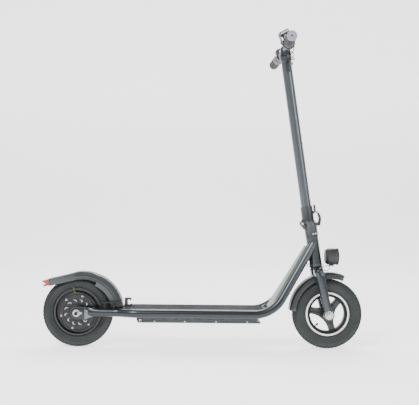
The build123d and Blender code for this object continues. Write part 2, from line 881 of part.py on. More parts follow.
# ---------------------------------------------------------------- headlight
light_x, light_z = 474.0, 336.0
light_radius, light_length = 30.0, 48.0
with BuildPart() as headlight_housing:
    with BuildSketch(Plane(origin=(light_x - 26, 0, light_z), x_dir=(0, 1, 0), z_dir=(1, 0, 0))):
        Circle(24)
    with BuildSketch(Plane(origin=(light_x - 16, 0, light_z), x_dir=(0, 1, 0), z_dir=(1, 0, 0))):
        Circle(light_radius)
    loft()
    with BuildSketch(Plane(origin=(light_x - 16, 0, light_z), x_dir=(0, 1, 0), z_dir=(1, 0, 0))):
        Circle(light_radius)
    extrude(amount=light_length - 10)
    with BuildSketch(Plane(origin=(light_x + 22, 0, light_z), x_dir=(0, 1, 0), z_dir=(1, 0, 0))):
        Circle(26)
    extrude(amount=-30, mode=Mode.SUBTRACT)
    # foot for the strap
    with BuildSketch(Plane.XY.offset(light_z - 33)):
        with Locations((light_x - 2, 0)):
            RectangleRounded(16, 18, 3)
    extrude(amount=6)
save(headlight_housing, "headlight_housing")

lens_radius = (26**2 + 5**2) / (2 * 5)
with BuildPart() as headlight_lens:
    with BuildSketch(Plane(origin=(light_x, 0, light_z), x_dir=(1, 0, 0), z_dir=(0, -1, 0))):
        with BuildLine():
            Polyline((27.5, 0), (16, 0), (16, 26), (22.5, 26))
            RadiusArc((22.5, 26), (27.5, 0), lens_radius)
        make_face()
    revolve(axis=Axis((light_x, 0, light_z), (1, 0, 0)))
save(headlight_lens, "headlight_lens")

with BuildPart() as headlight_bracket:
    with BuildSketch(upright(9)):
        with BuildLine():
            Polyline(
                (439.6, 288.5), (442.5, 288.9), (441.5, 297), (450, 300), (480, 300),
                (480, 303), (449, 303), (437.8, 300.3), close=True,
            )
        make_face()
    extrude(amount=18)
    add(fork.part, mode=Mode.SUBTRACT)
save(headlight_bracket, "headlight_bracket")

# ---------------------------------------------------------------- wires and cables
def cable(route, diameter):
    """Cable along straight runs joined by arcs as large as the runs allow; returns its builder."""
    points = [Vector(*point) for point in route]
    radii = []
    for before, corner, after in zip(points, points[1:], points[2:]):
        turn = (corner - before).get_angle(after - corner)
        shorter = min((corner - before).length, (after - corner).length)
        radii.append(0.45 * shorter / tan(radians(turn) / 2))
    print("radii", [round(radius, 1) for radius in radii], "for diameter", diameter)
    with BuildPart() as tube:
        with BuildLine() as path:
            FilletPolyline(*points, radius=radii)
        wire = path.wires()[0]
        with BuildSketch(Plane(origin=wire @ 0, z_dir=wire % 0)):
            Circle(diameter / 2)
        sweep(path=wire)
    print("volume", round(tube.part.volume), "length times section", round(
        wire.length * pi * diameter**2 / 4))
    return tube


headlight_wire = cable(
    [(463, -11, 307.4), (464, -11.5, 295), (455, -11, 284), (439, -9, 287)], 2.5
)
save(headlight_wire, "headlight_wire")
frame_wire = cable(
    [(378.5, -26.5, 313), (380, -25, 303), (385, -15, 299), (390.6, -5, 301.2)], 2.5
)
save(frame_wire, "frame_wire")

# ---------------------------------------------------------------- stem
with BuildPart() as stem_tube:
    with BuildSketch(across(joint_height + 5, stem_offset)):
        Circle(stem_radius)
        Circle(stem_radius - 2.5, mode=Mode.SUBTRACT)
    extrude(amount=stem_top - joint_height - 5)
save(stem_tube, "stem_tube")

bar_x, bar_z = bar_center
with BuildPart() as handlebar:
    with BuildLine() as route:
        FilletPolyline(
            (bar_end[0], -290, bar_end[1]),
            (bar_x, -60, bar_z),
            (bar_x, 60, bar_z),
            (bar_end[0], 290, bar_end[1]),
            radius=150,
        )
    wire = route.wires()[0]
    with BuildSketch(Plane(origin=wire @ 0, z_dir=wire % 0)):
        Circle(bar_radius)
        Circle(bar_radius - 2, mode=Mode.SUBTRACT)
    sweep(path=wire)
save(handlebar, "handlebar")


def bar_plane(side):
    """Plane square to the swept-back bar, facing outboard."""
    hand = 1 if side > 0 else -1
    share = (abs(side) - 60) / 230
    x = bar_x + (bar_end[0] - bar_x) * share
    z = bar_z + (bar_end[1] - bar_z) * share
    outboard = (bar_end[0] - bar_x, hand * 230, bar_end[1] - bar_z)
    return Plane(origin=(x, side, z), x_dir=(230 * hand, -outboard[0], 0), z_dir=outboard)


with BuildPart() as bar_clamp:
    with BuildSketch(side_on(24)):
        with Locations((stem_offset, 797)):
            Circle(18)
        with Locations((stem_offset, 786)):
            Rectangle(36, 10)
    extrude(amount=48)
    with BuildSketch(across(stem_top, stem_offset)):
        Circle(21)
    extrude(amount=16)
    with BuildSketch(across(stem_top - 14, stem_offset)):
        Circle(21.5)
        Circle(stem_radius, mode=Mode.SUBTRACT)
    extrude(amount=14)
    with BuildSketch(Plane(origin=(bar_x, 40, bar_z), x_dir=(1, 0, 0), z_dir=(0, -1, 0))):
        Circle(bar_radius)
    extrude(amount=80, mode=Mode.SUBTRACT)
save(bar_clamp, "bar_clamp")

with BuildPart() as grips:
    for hand in (-1, 1):
        with BuildSketch(bar_plane(hand * 182)):
            Circle(grip_radius)
            Circle(bar_radius, mode=Mode.SUBTRACT)
        extrude(amount=112)
save(grips, "grips")

with BuildPart() as grip_collars:
    for hand in (-1, 1):
        with BuildSketch(bar_plane(hand * 173)):
            Circle(grip_radius + 0.5)
            Circle(bar_radius, mode=Mode.SUBTRACT)
        extrude(amount=9)
        with BuildSketch(bar_plane(hand * 294)):
            Circle(grip_radius)
            Circle(3, mode=Mode.SUBTRACT)
        extrude(amount=5.9)
save(grip_collars, "grip_collars")

# ---------------------------------------------------------------- right side: display and throttle
display_side = -140.0
display_tilt = 28.0
display_plane = Plane(
    origin=(269.5, display_side, 1125),
    x_dir=(cos(radians(display_tilt)), 0, sin(radians(display_tilt))),
    z_dir=(-sin(radians(display_tilt)), 0, cos(radians(display_tilt))),
)
throttle_pivot = (262.0, 1086.0)
with BuildPart() as display_housing:
    with BuildSketch(display_plane.offset(-7)):
        RectangleRounded(36, 56, 7)
    extrude(amount=12)
    chamfer(display_housing.faces().sort_by(Axis.Z)[-1].edges(), 1.5)
    # neck down to a band round the bar
    with BuildSketch(bar_plane(-131)):
        Circle(16)
    extrude(amount=18)
    with BuildSketch(Plane(origin=(0, -131, 0), x_dir=(1, 0, 0), z_dir=(0, -1, 0))):
        with BuildLine():
            Polyline((274, 1083), (272, 1100), (262, 1118), (284, 1128), (296, 1100), close=True)
        make_face()
    extrude(amount=18)
    # round throttle body beside the band
    with BuildSketch(bar_plane(-148)):
        Circle(22)
    extrude(amount=22)
    with BuildSketch(bar_plane(-110)):
        Circle(bar_radius)
    extrude(amount=80, mode=Mode.SUBTRACT)
    # ears that carry the thumb paddle
    for low in (-153, -166.5):
        with BuildSketch(Plane(origin=(0, low, 0), x_dir=(1, 0, 0), z_dir=(0, -1, 0))):
            with Locations(throttle_pivot):
                Circle(5)
            with Locations((268, 1086)):
                Rectangle(12, 10)
            with Locations(throttle_pivot):
                Circle(2, mode=Mode.SUBTRACT)
        extrude(amount=3)
    with BuildSketch(Plane(origin=(0, -156, 0), x_dir=(1, 0, 0), z_dir=(0, -1, 0))):
        with Locations(throttle_pivot):
            Rectangle(18, 34)
    extrude(amount=10.5, mode=Mode.SUBTRACT)
    with BuildSketch(Plane(origin=(0, -150, 0), x_dir=(1, 0, 0), z_dir=(0, -1, 0))):
        with Locations(throttle_pivot):
            Circle(2)
    extrude(amount=24, mode=Mode.SUBTRACT)
save(display_housing, "display_housing")

with BuildPart() as throttle_paddle:
    with BuildSketch(Plane(origin=(0, -156 - gap, 0), x_dir=(1, 0, 0), z_dir=(0, -1, 0))):
        with BuildLine():
            Polyline((258, 1085), (266, 1087), (260, 1103), (256, 1107.5), (252, 1106.5), close=True)
        make_face()
        with Locations(throttle_pivot):
            Circle(4.5)
    extrude(amount=10.5 - 2 * gap)
    with BuildSketch(Plane(origin=(0, -153, 0), x_dir=(1, 0, 0), z_dir=(0, -1, 0))):
        with Locations(throttle_pivot):
            Circle(2 - running)
    extrude(amount=16.5)
save(throttle_paddle, "throttle_paddle")

# ---------------------------------------------------------------- left side: switches and brake
switch_plane = Plane(
    origin=(275, 118, 1110),
    x_dir=(cos(radians(45)), 0, sin(radians(45))),
    z_dir=(-sin(radians(45)), 0, cos(radians(45))),
)
with BuildPart() as switch_box:
    with BuildSketch(switch_plane.offset(-14)):
        RectangleRounded(24, 34, 4)
    extrude(amount=14)
    with BuildSketch(bar_plane(105)):
        Circle(16)
    extrude(amount=26)
    with BuildSketch(bar_plane(90)):
        Circle(bar_radius)
    extrude(amount=50, mode=Mode.SUBTRACT)
    with BuildSketch(switch_plane.offset(-3)):
        Circle(7)
    extrude(amount=4, mode=Mode.SUBTRACT)
save(switch_box, "switch_box")

button_travel = 2.0
with BuildPart() as horn_button:
    with BuildSketch(switch_plane.offset(button_travel - 3 + gap)):
        Circle(7 - gap)
    extrude(amount=5)
    chamfer(horn_button.faces().sort_by(Axis.Z)[-1].edges(), 0.8)
save(horn_button, "horn_button")

perch_side = 146.0
lever_pin = (316.0, perch_side + 10)
with BuildPart() as lever_perch:
    with BuildSketch(bar_plane(perch_side)):
        Circle(15.5)
    extrude(amount=18)
    with BuildSketch(Plane(origin=(0, perch_side - 2, 0), x_dir=(1, 0, 0), z_dir=(0, -1, 0))):
        with BuildLine():
            Polyline((296, 1094), (322, 1086), (324, 1074), (296, 1074), close=True)
        make_face()
    extrude(amount=-20)
    with BuildSketch(bar_plane(perch_side - 10)):
        Circle(bar_radius)
    extrude(amount=50, mode=Mode.SUBTRACT)
    # slot for the lever and barrel for the cable
    with BuildSketch(Plane.XY.offset(1076)):
        with Locations((321, perch_side + 9)):
            Rectangle(24, 30)
    extrude(amount=8, mode=Mode.SUBTRACT)
    with BuildSketch(Plane.XZ.offset(-(perch_side - 2))):
        with Locations((316, 1087)):
            Circle(4)
    extrude(amount=14)
    with BuildSketch(Plane.XY.offset(1075)):
        with Locations(lever_pin):
            Circle(2.5 - running)
    extrude(amount=11)
save(lever_perch, "lever_perch")

with BuildPart() as brake_lever:
    with BuildSketch(Plane.XY.offset(1076 + gap)):
        with Locations(lever_pin):
            Circle(6)
        with BuildLine():
            Polyline(
                (313, perch_side + 15),
                (321, perch_side + 13),
                (341, perch_side + 44),
                (347, perch_side + 80),
                (340, perch_side + 80),
                (333, perch_side + 48),
                close=True,
            )
        make_face()
        with Locations(lever_pin):
            Circle(2.5, mode=Mode.SUBTRACT)
    extrude(amount=8 - 2 * gap)
    with Locations((344, perch_side + 82, 1080)):
        Sphere(6)
save(brake_lever, "brake_lever")


# ---------------------------------------------------------------- cable entry and control cables
with BuildPart() as cable_grommet:
    with BuildSketch(across(718, stem_offset)):
        with Locations((0, -21)):
            SlotOverall(17, 9)
    extrude(amount=28)
    with BuildSketch(across(718, stem_offset)):
        Circle(stem_radius)
    extrude(amount=30, mode=Mode.SUBTRACT)
save(cable_grommet, "cable_grommet")


def entry(ahead, above=0):
    """Point at or above the grommet's top face, in a row along the stem's right side."""
    return raked(stem_offset + ahead, -22.4, 746 + above)


brake_cable = cable(
    [
        (316, 130, 1087), (316, 114, 1087), (329, 74, 1079), (332, 36, 1066),
        (323, 4, 1056.5), (309.5, -24.5, 1053), entry(5, 9), entry(5),
    ],
    4.0,
)
switch_cable = cable(
    [
        (292, 104, 1102), (311, 86, 1104), (325, 60, 1096), (329, 30, 1083),
        (323, 2, 1068.5), (306.5, -26.5, 1060.5), entry(0, 12), entry(0),
    ],
    3.5,
)
display_cable = cable(
    [
        (283, -127, 1114), (301, -112, 1110), (314, -92, 1094), (314, -70, 1076),
        (303, -50, 1062), (293, -32, 1056), entry(-5, 8), entry(-5),
    ],
    3.5,
)
with BuildPart() as control_cables:
    add(brake_cable.part)
    add(switch_cable.part)
    add(display_cable.part)
save(control_cables, "control_cables")

# ---------------------------------------------------------------- kickstand
stand_pivot = (-70.0, 102.0)
stand_side = 84.0
with BuildPart() as kickstand_bracket:
    for low in (stand_side - 10, stand_side + 6):
        with BuildSketch(upright(low + 4)):
            with Locations(stand_pivot):
                Circle(9)
            with Locations((stand_pivot[0], 108.5)):
                Rectangle(30, 13)
        extrude(amount=4)
    with BuildSketch(upright(stand_side + 10)):
        with Locations((stand_pivot[0], 113.5)):
            Rectangle(30, 3)
    extrude(amount=20)
    with BuildSketch(upright(stand_side + 11)):
        with Locations(stand_pivot):
            Circle(4)
    extrude(amount=22)
save(kickstand_bracket, "kickstand_bracket")

stand_length = 90.0
with BuildPart() as kickstand_leg:
    with BuildSketch(upright(stand_side + 5.6)):
        with Locations(stand_pivot):
            Circle(8)
    extrude(amount=11.2)
    leg_start = (stand_pivot[0], stand_side, stand_pivot[1])
    with BuildSketch(Plane(origin=leg_start, x_dir=(0, 1, 0), z_dir=(-1, 0, 0))):
        RectangleRounded(11, 12, 3)
    extrude(amount=stand_length)
    with BuildSketch(Plane(origin=leg_start, x_dir=(0, 1, 0), z_dir=(-1, 0, 0)).offset(stand_length)):
        RectangleRounded(18, 12, 3)
    extrude(amount=6)
    with BuildSketch(upright(stand_side + 20)):
        with Locations(stand_pivot):
            Circle(4 + running)
    extrude(amount=40, mode=Mode.SUBTRACT)
save(kickstand_leg, "kickstand_leg")
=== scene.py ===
"""Looks of a folding electric kick scooter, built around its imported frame."""

import json
import logging
import math
from dataclasses import dataclass
from enum import Enum
from typing import Any, Iterable, Sequence
import bmesh
import bpy
from mathutils import Matrix, Vector


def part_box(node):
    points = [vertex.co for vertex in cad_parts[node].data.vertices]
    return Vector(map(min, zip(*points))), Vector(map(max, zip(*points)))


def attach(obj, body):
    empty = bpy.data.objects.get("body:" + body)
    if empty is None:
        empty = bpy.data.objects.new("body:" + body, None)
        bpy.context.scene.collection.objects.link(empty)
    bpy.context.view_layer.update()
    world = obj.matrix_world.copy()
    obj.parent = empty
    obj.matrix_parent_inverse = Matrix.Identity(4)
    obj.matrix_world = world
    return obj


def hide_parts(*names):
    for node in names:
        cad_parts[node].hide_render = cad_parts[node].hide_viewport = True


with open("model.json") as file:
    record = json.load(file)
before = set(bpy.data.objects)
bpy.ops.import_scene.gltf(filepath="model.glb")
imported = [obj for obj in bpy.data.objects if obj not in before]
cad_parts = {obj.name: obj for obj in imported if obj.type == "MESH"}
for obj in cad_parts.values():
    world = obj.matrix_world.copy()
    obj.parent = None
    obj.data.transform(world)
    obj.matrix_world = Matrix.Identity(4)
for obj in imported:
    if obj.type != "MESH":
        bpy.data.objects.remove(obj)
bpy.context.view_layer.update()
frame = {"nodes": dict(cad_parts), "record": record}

LOG = logging.getLogger("scooter")
MM = 0.001
Point = tuple[float, float, float]
Outline = Sequence[tuple[float, float]]


# ---------------------------------------------------------------- finishes
def linear(hex_colour: str) -> tuple[float, float, float, float]:
    """Turns an sRGB hex colour to linear light.

    Args:
        hex_colour: Six hex digits with a leading hash.

    Returns:
        Linear red, green and blue, and an alpha of one.
    """
    parts = [int(hex_colour[i : i + 2], 16) / 255 for i in (1, 3, 5)]
    red, green, blue = (c / 12.92 if c <= 0.04045 else ((c + 0.055) / 1.055) ** 2.4 for c in parts)
    return red, green, blue, 1.0


def add_node(
    tree: bpy.types.NodeTree, kind: str, inputs: dict[Any, Any] | None = None, **settings: Any
) -> Any:
    """Adds a shader node.

    Args:
        tree: The material's node tree.
        kind: The node's type name without its ShaderNode prefix.
        inputs: Socket name or number to a value, or to the output that feeds it.
        settings: The node's own properties.

    Returns:
        The new node.
    """
    node = tree.nodes.new("ShaderNode" + kind)
    for key, value in settings.items():
        setattr(node, key, value)
    for key, value in (inputs or {}).items():
        if isinstance(value, bpy.types.NodeSocket):
            tree.links.new(value, node.inputs[key])
        else:
            node.inputs[key].default_value = value
    return node


class Pattern(Enum):
    """How a surface was shaped by its making."""

    GRAIN = "moulded or sprayed grain"
    RIBS = "straight ribs"
    RINGS = "turned rings about a wheel's axle"
    BRUSHED = "lines of brushing"
    DIMPLES = "raised dots"


@dataclass(frozen=True)
class Finish:
    """One real material with the marks of how its surface was made."""

    name: str
    colour: str
    shade: str
    roughness: float
    metallic: float = 0.0
    grain_mm: float = 1.0
    depth_mm: float = 0.05
    patch_mm: float = 90.0
    pattern: Pattern = Pattern.GRAIN
    centre: Point = (0.0, 0.0, 0.0)
    along: Point = (0.0, 1.0, 0.0)
    coat: float = 0.0
    transmission: float = 0.0
    glow: float = 0.0
    ior: float = 1.5
    wear: str = ""

    def height(self, tree: bpy.types.NodeTree, place: Any) -> Any:
        """Makes the pattern's height.

        Args:
            tree: The material's node tree.
            place: Socket that gives the point on the piece, in metres.

        Returns:
            Socket with the height, from zero to one.
        """
        scale = 1 / (self.grain_mm * MM)
        if self.pattern is Pattern.GRAIN:
            return add_node(tree, "TexNoise", {"Vector": place, "Scale": scale, "Detail": 3.0}).outputs[0]
        if self.pattern is Pattern.DIMPLES:
            cells = add_node(tree, "TexVoronoi", {"Vector": place, "Scale": scale, "Randomness": 0.0})
            dots = {0: cells.outputs[0], 1: 0.2, 2: 0.45, 3: 1.0, 4: 0.0}
            return add_node(tree, "MapRange", dots).outputs[0]
        if self.pattern is Pattern.BRUSHED:
            drawn_out = tuple(0.02 if a else 1.0 for a in self.along)
            drawn = add_node(tree, "Mapping", {"Vector": place, "Scale": drawn_out}).outputs[0]
            return add_node(tree, "TexNoise", {"Vector": drawn, "Scale": scale, "Detail": 4.0}).outputs[0]
        moved = add_node(tree, "VectorMath", {0: place, 1: self.centre}, operation="SUBTRACT")
        if self.pattern is Pattern.RINGS:
            flat = add_node(tree, "VectorMath", {0: moved.outputs[0], 1: (1, 0, 1)}, operation="MULTIPLY")
            far = add_node(tree, "VectorMath", {0: flat.outputs[0]}, operation="LENGTH")
        else:
            far = add_node(tree, "VectorMath", {0: moved.outputs[0], 1: self.along}, operation="DOT_PRODUCT")
        turn = add_node(tree, "Math", {0: far.outputs["Value"], 1: 2 * math.pi * scale}, operation="MULTIPLY")
        wave = add_node(tree, "Math", {0: turn.outputs[0]}, operation="SINE")
        return add_node(tree, "MapRange", {0: wave.outputs[0], 1: -0.6, 2: 0.6, 3: 0.0, 4: 1.0}).outputs[0]

    def material(self) -> bpy.types.Material:
        """Builds the material once.

        Returns:
            The material, made now or before.
        """
        found = bpy.data.materials.get(self.name)
        if found:
            return found
        made = bpy.data.materials.new(self.name)
        made.use_nodes = True
        tree = made.node_tree
        shader = tree.nodes["Principled BSDF"]
        place = add_node(tree, "TexCoord").outputs["Object"]
        height = self.height(tree, place)
        patch_scale = 1 / (self.patch_mm * MM)
        clouds = add_node(tree, "TexNoise", {"Vector": place, "Scale": patch_scale, "Detail": 5.0})
        patches = clouds.outputs[0]
        colours = {"Factor": patches, 6: linear(self.colour), 7: linear(self.shade)}
        colour = add_node(tree, "Mix", colours, data_type="RGBA").outputs[2]
        if self.wear:
            edges = add_node(tree, "NewGeometry").outputs["Pointiness"]
            keen = add_node(tree, "MapRange", {0: edges, 1: 0.53, 2: 0.62, 3: 0.0, 4: 0.7}).outputs[0]
            worn = {"Factor": keen, 6: colour, 7: linear(self.wear)}
            colour = add_node(tree, "Mix", worn, data_type="RGBA").outputs[2]
        low, high = self.roughness * 0.85, min(1.0, self.roughness * 1.18)
        rough = add_node(tree, "MapRange", {0: patches, 1: 0.3, 2: 0.7, 3: low, 4: high})
        bump = add_node(tree, "Bump", {"Height": height, "Strength": 0.6, "Distance": self.depth_mm * MM})
        tree.links.new(colour, shader.inputs["Base Color"])
        tree.links.new(rough.outputs[0], shader.inputs["Roughness"])
        tree.links.new(bump.outputs[0], shader.inputs["Normal"])
        shader.inputs["Metallic"].default_value = self.metallic
        shader.inputs["Coat Weight"].default_value = self.coat
        shader.inputs["Coat Roughness"].default_value = 0.2
        shader.inputs["Transmission Weight"].default_value = self.transmission
        if not self.metallic:
            shader.inputs["IOR"].default_value = self.ior
        if self.glow:
            shader.inputs["Emission Color"].default_value = linear(self.colour)
            shader.inputs["Emission Strength"].default_value = self.glow
        return made


def joint_vector(name: str, key: str = "pos_m") -> Vector:
    """Gives a joint's point in metres, or another of its vectors."""
    return Vector(next(j[key] for j in frame["record"]["behaviour"]["joints"] if j["name"] == name))


REAR = joint_vector("rear_roll")
FRONT = joint_vector("front_roll")
STEER = joint_vector("steer")
STEER_AXIS = joint_vector("steer", "axis").normalized()
STEER_UP = 60.0

# Turns that point a place's z somewhere else.
FLIP = Matrix.Rotation(math.pi, 4, "X")
TO_RIGHT = Matrix.Rotation(math.pi / 2, 4, "X")
TO_LEFT = Matrix.Rotation(-math.pi / 2, 4, "X")
TO_FRONT = Matrix.Rotation(math.pi / 2, 4, "Y")
TO_REAR = Matrix.Rotation(-math.pi / 2, 4, "Y")

# Satin powder coat: fine orange peel, soft highlights, a little metal flake.
PAINT = Finish("anthracite_powder_coat", "#272c2f", "#22272a", 0.3, metallic=0.55, grain_mm=0.9,
               depth_mm=0.012, patch_mm=160, coat=0.3, wear="#4f555a")
# The same coat on flat blasted steel, painted paler: a painted highlight, the light that the flat face
# catches.
GUSSET_HIGHLIGHT_PAINT = Finish("anthracite_coat_painted_highlight", "#6d7678", "#636c6e", 0.5, metallic=0.3, grain_mm=1.0,
                      depth_mm=0.05)
# Black coat over castings: duller, and picks up dust in its corners.
CAST_PAINT = Finish("black_powder_coat_on_cast_alloy", "#131415", "#0f1011", 0.4, metallic=0.2, grain_mm=0.7,
                    depth_mm=0.03, coat=0.15, wear="#33373a")
# White coat on the rim's flange.
WHITE_COAT = Finish("white_powder_coat", "#e4e6e4", "#d8dad8", 0.4, grain_mm=0.9, depth_mm=0.01)
# Moulded nylon: matt with a fine spark-eroded texture.
NYLON = Finish("black_moulded_nylon", "#121415", "#0e1011", 0.5, grain_mm=0.55, depth_mm=0.04,
               wear="#33373a")
# Fender plastic: a shade lighter from light scuffs and dust.
FENDER = Finish("black_polypropylene", "#191c1e", "#131617", 0.42, grain_mm=0.8, depth_mm=0.04,
                wear="#4a5052")
# Tyre tread and sidewall: dull carbon-black rubber with a dry bloom.
TYRE = Finish("tyre_rubber", "#1c2020", "#161a1a", 0.66, grain_mm=1.2, depth_mm=0.08, wear="#2b3030")
# Soft rubber of the grips.
SOFT_RUBBER = Finish("grip_rubber", "#131716", "#0f1312", 0.62, grain_mm=0.8, depth_mm=0.06)
# Grit-free deck mat: low ribs along the deck, drawn 4 mm apart.
DECK_RUBBER = Finish("ribbed_deck_rubber", "#3f4143", "#37393b", 0.78, grain_mm=4.0, depth_mm=0.5,
                     pattern=Pattern.RIBS)
# Extruded deck alloy, bead blasted and clear anodised.
DECK_ALLOY = Finish("anodised_extrusion", "#c3c6c9", "#b4b7ba", 0.38, metallic=1.0, grain_mm=0.6,
                    depth_mm=0.01)
# Blasted alloy of the end caps, with a lavender tint and sparkling grains.
SPECKLED = Finish("blasted_alloy", "#aaa6b4", "#8c8896", 0.5, metallic=0.8, grain_mm=1.1, depth_mm=0.12,
                  patch_mm=2.2)
# Machined and zinc plated steel.
PLATED = Finish("zinc_plated_steel", "#c9cbce", "#b0b3b6", 0.28, metallic=1.0, grain_mm=0.5, depth_mm=0.01)
# Turned steel about the axles.
TURNED_REAR = Finish("turned_steel_rear", "#c3c5c7", "#a9acae", 0.3, metallic=1.0, grain_mm=1.1,
                     depth_mm=0.01, pattern=Pattern.RINGS, centre=tuple(REAR))
TURNED_FRONT = Finish("turned_steel_front", "#cdcfd1", "#b4b7b9", 0.26, metallic=1.0, grain_mm=1.1,
                      depth_mm=0.01, pattern=Pattern.RINGS, centre=tuple(FRONT))
# Disc steel, ground in rings.
DISC_STEEL = Finish("ground_stainless", "#b9bbbd", "#9fa1a3", 0.32, metallic=1.0, grain_mm=0.9,
                    depth_mm=0.008, pattern=Pattern.RINGS, centre=tuple(REAR))
# Cover panel, satin polypropylene: its pale sage grey is painted highlight, the soft sheen of a darker
# surface.
COVER_SHEEN_PAINT = Finish("cover_panel_painted_sheen", "#7c877b", "#707b70", 0.44, grain_mm=1.0, depth_mm=0.02, patch_mm=140)
# Battery housing: powder coated sheet, darker than the frame.
HOUSING = Finish("charcoal_powder_coat", "#212528", "#1b1f22", 0.42, metallic=0.3, grain_mm=0.8,
                 depth_mm=0.02, wear="#4d5356")
# Light grey moulded plastic of the display's neck.
GREY_ABS = Finish("grey_abs", "#b9bdc0", "#abafb2", 0.42, grain_mm=0.6, depth_mm=0.015)
# Red polycarbonate lens with light scattered inside it.
RED_LENS = Finish("red_polycarbonate", "#c3230f", "#8f130a", 0.16, grain_mm=3.0, depth_mm=0.25,
                  pattern=Pattern.DIMPLES, transmission=0.35, glow=0.12, ior=1.58, coat=0.5)
# Orange polycarbonate of the lit cells.
AMBER_LENS = Finish("amber_polycarbonate", "#f08a3c", "#e06a28", 0.14, grain_mm=3.0, depth_mm=0.25,
                    pattern=Pattern.DIMPLES, transmission=0.3, glow=0.25, ior=1.58, coat=0.5)
# Clear headlight lens.
CLEAR_LENS = Finish("clear_polycarbonate", "#e9eef0", "#e2e8ea", 0.05, grain_mm=2.0, depth_mm=0.02,
                    patch_mm=40, transmission=0.92, ior=1.58)
# Chromed reflector behind it.
REFLECTOR = Finish("metallised_reflector", "#dfe2e5", "#d2d6d9", 0.1, metallic=1.0, grain_mm=3.0,
                   depth_mm=0.1)
# Display glass: smoked and glossy.
DARK_GLASS = Finish("smoked_glass", "#0d1012", "#0a0c0e", 0.06, grain_mm=5.0, depth_mm=0.002, coat=1.0,
                    ior=1.52)
# Glossy moulded ABS of the horn button.
RED_BUTTON = Finish("red_gloss_abs", "#c21d33", "#a91528", 0.2, grain_mm=1.5, depth_mm=0.01, coat=0.6)
# Extruded PVC of the cables' sleeves.
WIRE = Finish("pvc_sleeve", "#0d0f10", "#0a0b0c", 0.5, grain_mm=0.6, depth_mm=0.02)
# Lacquered windings of the motor.
COPPER = Finish("enamelled_copper", "#9a5532", "#84452a", 0.35, metallic=1.0, grain_mm=0.8, depth_mm=0.1)
# Aged brass, browned in its hollows.
BRASS = Finish("valve_brass", "#77713f", "#5c572f", 0.34, metallic=1.0, grain_mm=0.5, depth_mm=0.02)
# Satin anodised alloy, bright where its edges are rubbed.
PALE_ALLOY = Finish("satin_anodised_alloy", "#a9adb1", "#9a9ea2", 0.34, metallic=0.9, grain_mm=0.6,
                    depth_mm=0.01, wear="#c8cbce")
# Undyed grey nylon of the throttle.
PALE_NYLON = Finish("grey_nylon", "#8d9193", "#7e8284", 0.45, grain_mm=0.6, depth_mm=0.02)
# Thin black dip coat on pressed steel and small castings.
BLACK_COAT = Finish("black_e_coat", "#0e0f11", "#0b0c0d", 0.34, metallic=0.4, grain_mm=0.6, depth_mm=0.02,
                    wear="#3a3e41")

CAD_FINISHES: dict[Finish, tuple[str, ...]] = {
    PAINT: ("frame_tube_right", "frame_tube_left", "head_tube", "fork", "fold_base", "stem_collar",
            "stem_tube", "handlebar", "bar_clamp"),
    CAST_PAINT: ("front_rim", "motor_shell", "motor_cover"),
    TYRE: ("rear_tyre", "front_tyre"),
    SOFT_RUBBER: ("grips",),
    DECK_RUBBER: ("deck_mat",),
    DECK_ALLOY: ("deck_plate",),
    HOUSING: ("battery_housing",),
    # The leg cover's pale sage colour is painted highlight.
    COVER_SHEEN_PAINT: ("leg_cover",),
    BLACK_COAT: ("stem_hook", "fender_bracket", "kickstand_bracket", "lever_perch", "brake_lever",
                 "brake_caliper", "hinge_pins", "lock_lever", "cable_grommet"),
    NYLON: ("display_housing", "switch_box", "safety_catch", "headlight_housing", "battery_pack"),
    FENDER: ("rear_fender", "front_fender"),
    PLATED: ("housing_screws", "charge_socket", "headset_bearings", "steerer", "headlight_bracket",
             "motor_bearings", "motor_magnets", "front_bearings", "rear_axle", "front_axle",
             "motor_controller", "caliper_arm"),
    TURNED_REAR: ("rear_axle_nuts",),
    TURNED_FRONT: ("front_axle_nuts",),
    DISC_STEEL: ("brake_disc",),
    COPPER: ("motor_stator",),
    RED_LENS: ("tail_light",),
    CLEAR_LENS: ("headlight_lens",),
    SPECKLED: ("grip_collars",),
    PALE_ALLOY: ("kickstand_leg",),
    PALE_NYLON: ("throttle_paddle",),
    RED_BUTTON: ("horn_button",),
    WIRE: ("control_cables", "headlight_wire", "frame_wire"),
}


# ---------------------------------------------------------------- workshop tools
def wheel_place(centre: Vector, side: float, angle: float = 0.0, radius: float = 0.0) -> Matrix:
    """Gives a place on a wheel's side, its z pointing to the scooter's right.

    Args:
        centre: The wheel's centre.
        side: Distance to the scooter's left of the middle, in millimetres.
        angle: Degrees up from the front, seen from the right side.
        radius: Distance from the axle, in millimetres.

    Returns:
        A matrix with x pointing away from the axle and z to the right.
    """
    turn = Matrix.Rotation(-math.radians(angle), 4, "Y")
    facing = Matrix(((1, 0, 0, 0), (0, 0, -1, 0), (0, 1, 0, 0), (0, 0, 0, 1)))
    hub = Matrix.Translation(centre + Vector((0, side * MM, 0)))
    return hub @ turn @ Matrix.Translation((radius * MM, 0, 0)) @ facing


def sided_place(centre: Vector, hand: int, side: float, angle: float = 0.0, radius: float = 0.0) -> Matrix:
    """Gives a wheel_place on the right (hand -1) or the left (hand 1) side, its z pointing outboard."""
    place = wheel_place(centre, hand * side, angle, radius)
    return place if hand < 0 else place @ FLIP


def raked_place(ahead: float, side: float, up: float) -> Matrix:
    """Gives a place beside the steering axis, turned with its rake.

    Args:
        ahead: Distance ahead of the axis, square to it, in millimetres.
        side: Distance to the scooter's left, in millimetres.
        up: Distance along the axis from its foot, which is STEER_UP below the joint's point.

    Returns:
        A matrix with x ahead, y to the left and z up along the axis.
    """
    ahead_way = Vector((STEER_AXIS.z, 0, -STEER_AXIS.x))
    along = STEER_AXIS * (up - STEER_UP) * MM
    origin = STEER + ahead_way * ahead * MM + Vector((0, side * MM, 0)) + along
    turn = Matrix((ahead_way, Vector((0, 1, 0)), STEER_AXIS)).transposed().to_4x4()
    return Matrix.Translation(origin) @ turn


def aimed(start: Vector, end: Vector) -> Matrix:
    """Gives a place at start whose z points to end."""
    return Matrix.Translation(start) @ (end - start).to_track_quat("Z", "Y").to_matrix().to_4x4()


